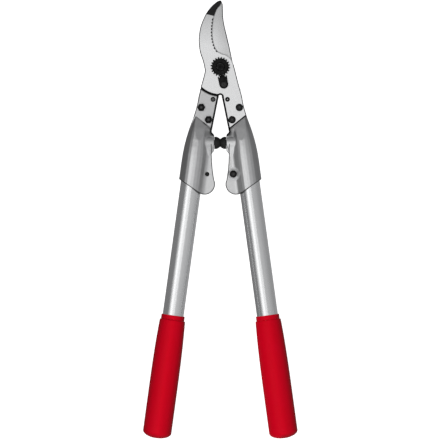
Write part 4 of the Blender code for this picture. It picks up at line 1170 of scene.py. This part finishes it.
FLOOR_REACH = 6
FLOOR_GAP = 0.0004
FLOOR_GLOW = 0.95
WALL_LIGHT = 0.22
WALL_TINT = (1.0, 1.0, 1.01, 1)
CAMERA_HEIGHT = 9.0
FRAME_CENTRE = (-0.0004, -0.216984)
FRAME_WIDTH = 0.6235
SENSOR = 36.0
SIGHT_END = 20

floor_mesh = bpy.data.meshes.new("floor")
bm = bmesh.new()
bmesh.ops.create_grid(bm, x_segments=1, y_segments=1, size=FLOOR_REACH,
                      matrix=Matrix.Translation((0, 0, -FLOOR_GAP)))
bm.to_mesh(floor_mesh)
bm.free()
floor = bpy.data.objects.new("floor", floor_mesh)
bpy.context.scene.collection.objects.link(floor)
white = bpy.data.materials.new("floor_white")
white.use_nodes = True
paper = white.node_tree.nodes["Principled BSDF"]
for socket, value in (("Base Color", (0.9, 0.9, 0.9, 1)), ("Roughness", 1.0),
                      ("Specular IOR Level", 0.0), ("Emission Color", (1, 1, 1, 1)),
                      ("Emission Strength", FLOOR_GLOW)):
    paper.inputs[socket].default_value = value
floor_mesh.materials.append(white)
floor.visible_glossy = False
floor.visible_diffuse = False


def soft_light(name, place, target, width, length, glow):
    """Rectangular light of a given radiance, aimed at a point; its width runs across the lopper"""
    light = bpy.data.lights.new(name, "AREA")
    light.shape = "RECTANGLE"
    light.size = width
    light.size_y = length
    light.energy = glow * math.pi * width * length
    lamp = bpy.data.objects.new(name, light)
    bpy.context.scene.collection.objects.link(lamp)
    back = (Vector(place) - Vector(target)).normalized()
    across = Vector((0, 1, 0)).cross(back).normalized()
    turn = Matrix((across, back.cross(across), back)).transposed()
    lamp.matrix_world = Matrix.Translation(place) @ turn.to_4x4()
    lamp.visible_camera = False


soft_light("key_box", (-1.20, -0.56, 2.2), (-1.20, -0.56, 0), width=1.3, length=2.7, glow=1.12)
soft_light("overhead_box", (-0.09, -0.56, 2.2), (-0.09, -0.56, 0), width=0.92, length=2.7,
           glow=0.7)
soft_light("left_strip", (-1.93, -0.3, 1.74), (0, -0.3, 0), width=0.64, length=2.8, glow=0.4)
soft_light("far_fill", (-1.1, 1.7, 2.0), (0, -0.1, 0), width=1.5, length=1.0, glow=0.24)
soft_light("low_fill", (0.0, -2.5, 1.2), (0, -0.1, 0), width=2.6, length=0.9, glow=0.5)

world = bpy.data.worlds.new("studio")
world.use_nodes = True
walls = NodeTree(world.node_tree)
direction = walls.node("ShaderNodeTexCoord", {}, {}, "Generated")
right, away, up = (walls.node("ShaderNodeSeparateXYZ", {}, [direction], axis)
                   for axis in range(3))
lighter = (right * 2.0 + 0.3).clamp() * (0.9 - away * 0.8).clamp() * (
    (up * 0.24).clamp() + 0.16)
sky = world.node_tree.nodes["Background"]
walls.feed(sky.inputs["Strength"], lighter + WALL_LIGHT)
walls.feed(sky.inputs["Color"], WALL_TINT)
bpy.context.scene.world = world

lens = bpy.data.cameras.new("camera")
lens.sensor_width = SENSOR
lens.lens = SENSOR * CAMERA_HEIGHT / FRAME_WIDTH
lens.clip_end = SIGHT_END
camera = bpy.data.objects.new("camera", lens)
bpy.context.scene.collection.objects.link(camera)
camera.location = PIVOT + Vector((*FRAME_CENTRE, CAMERA_HEIGHT))
bpy.context.scene.camera = camera
bpy.context.scene.view_settings.view_transform = "Standard"
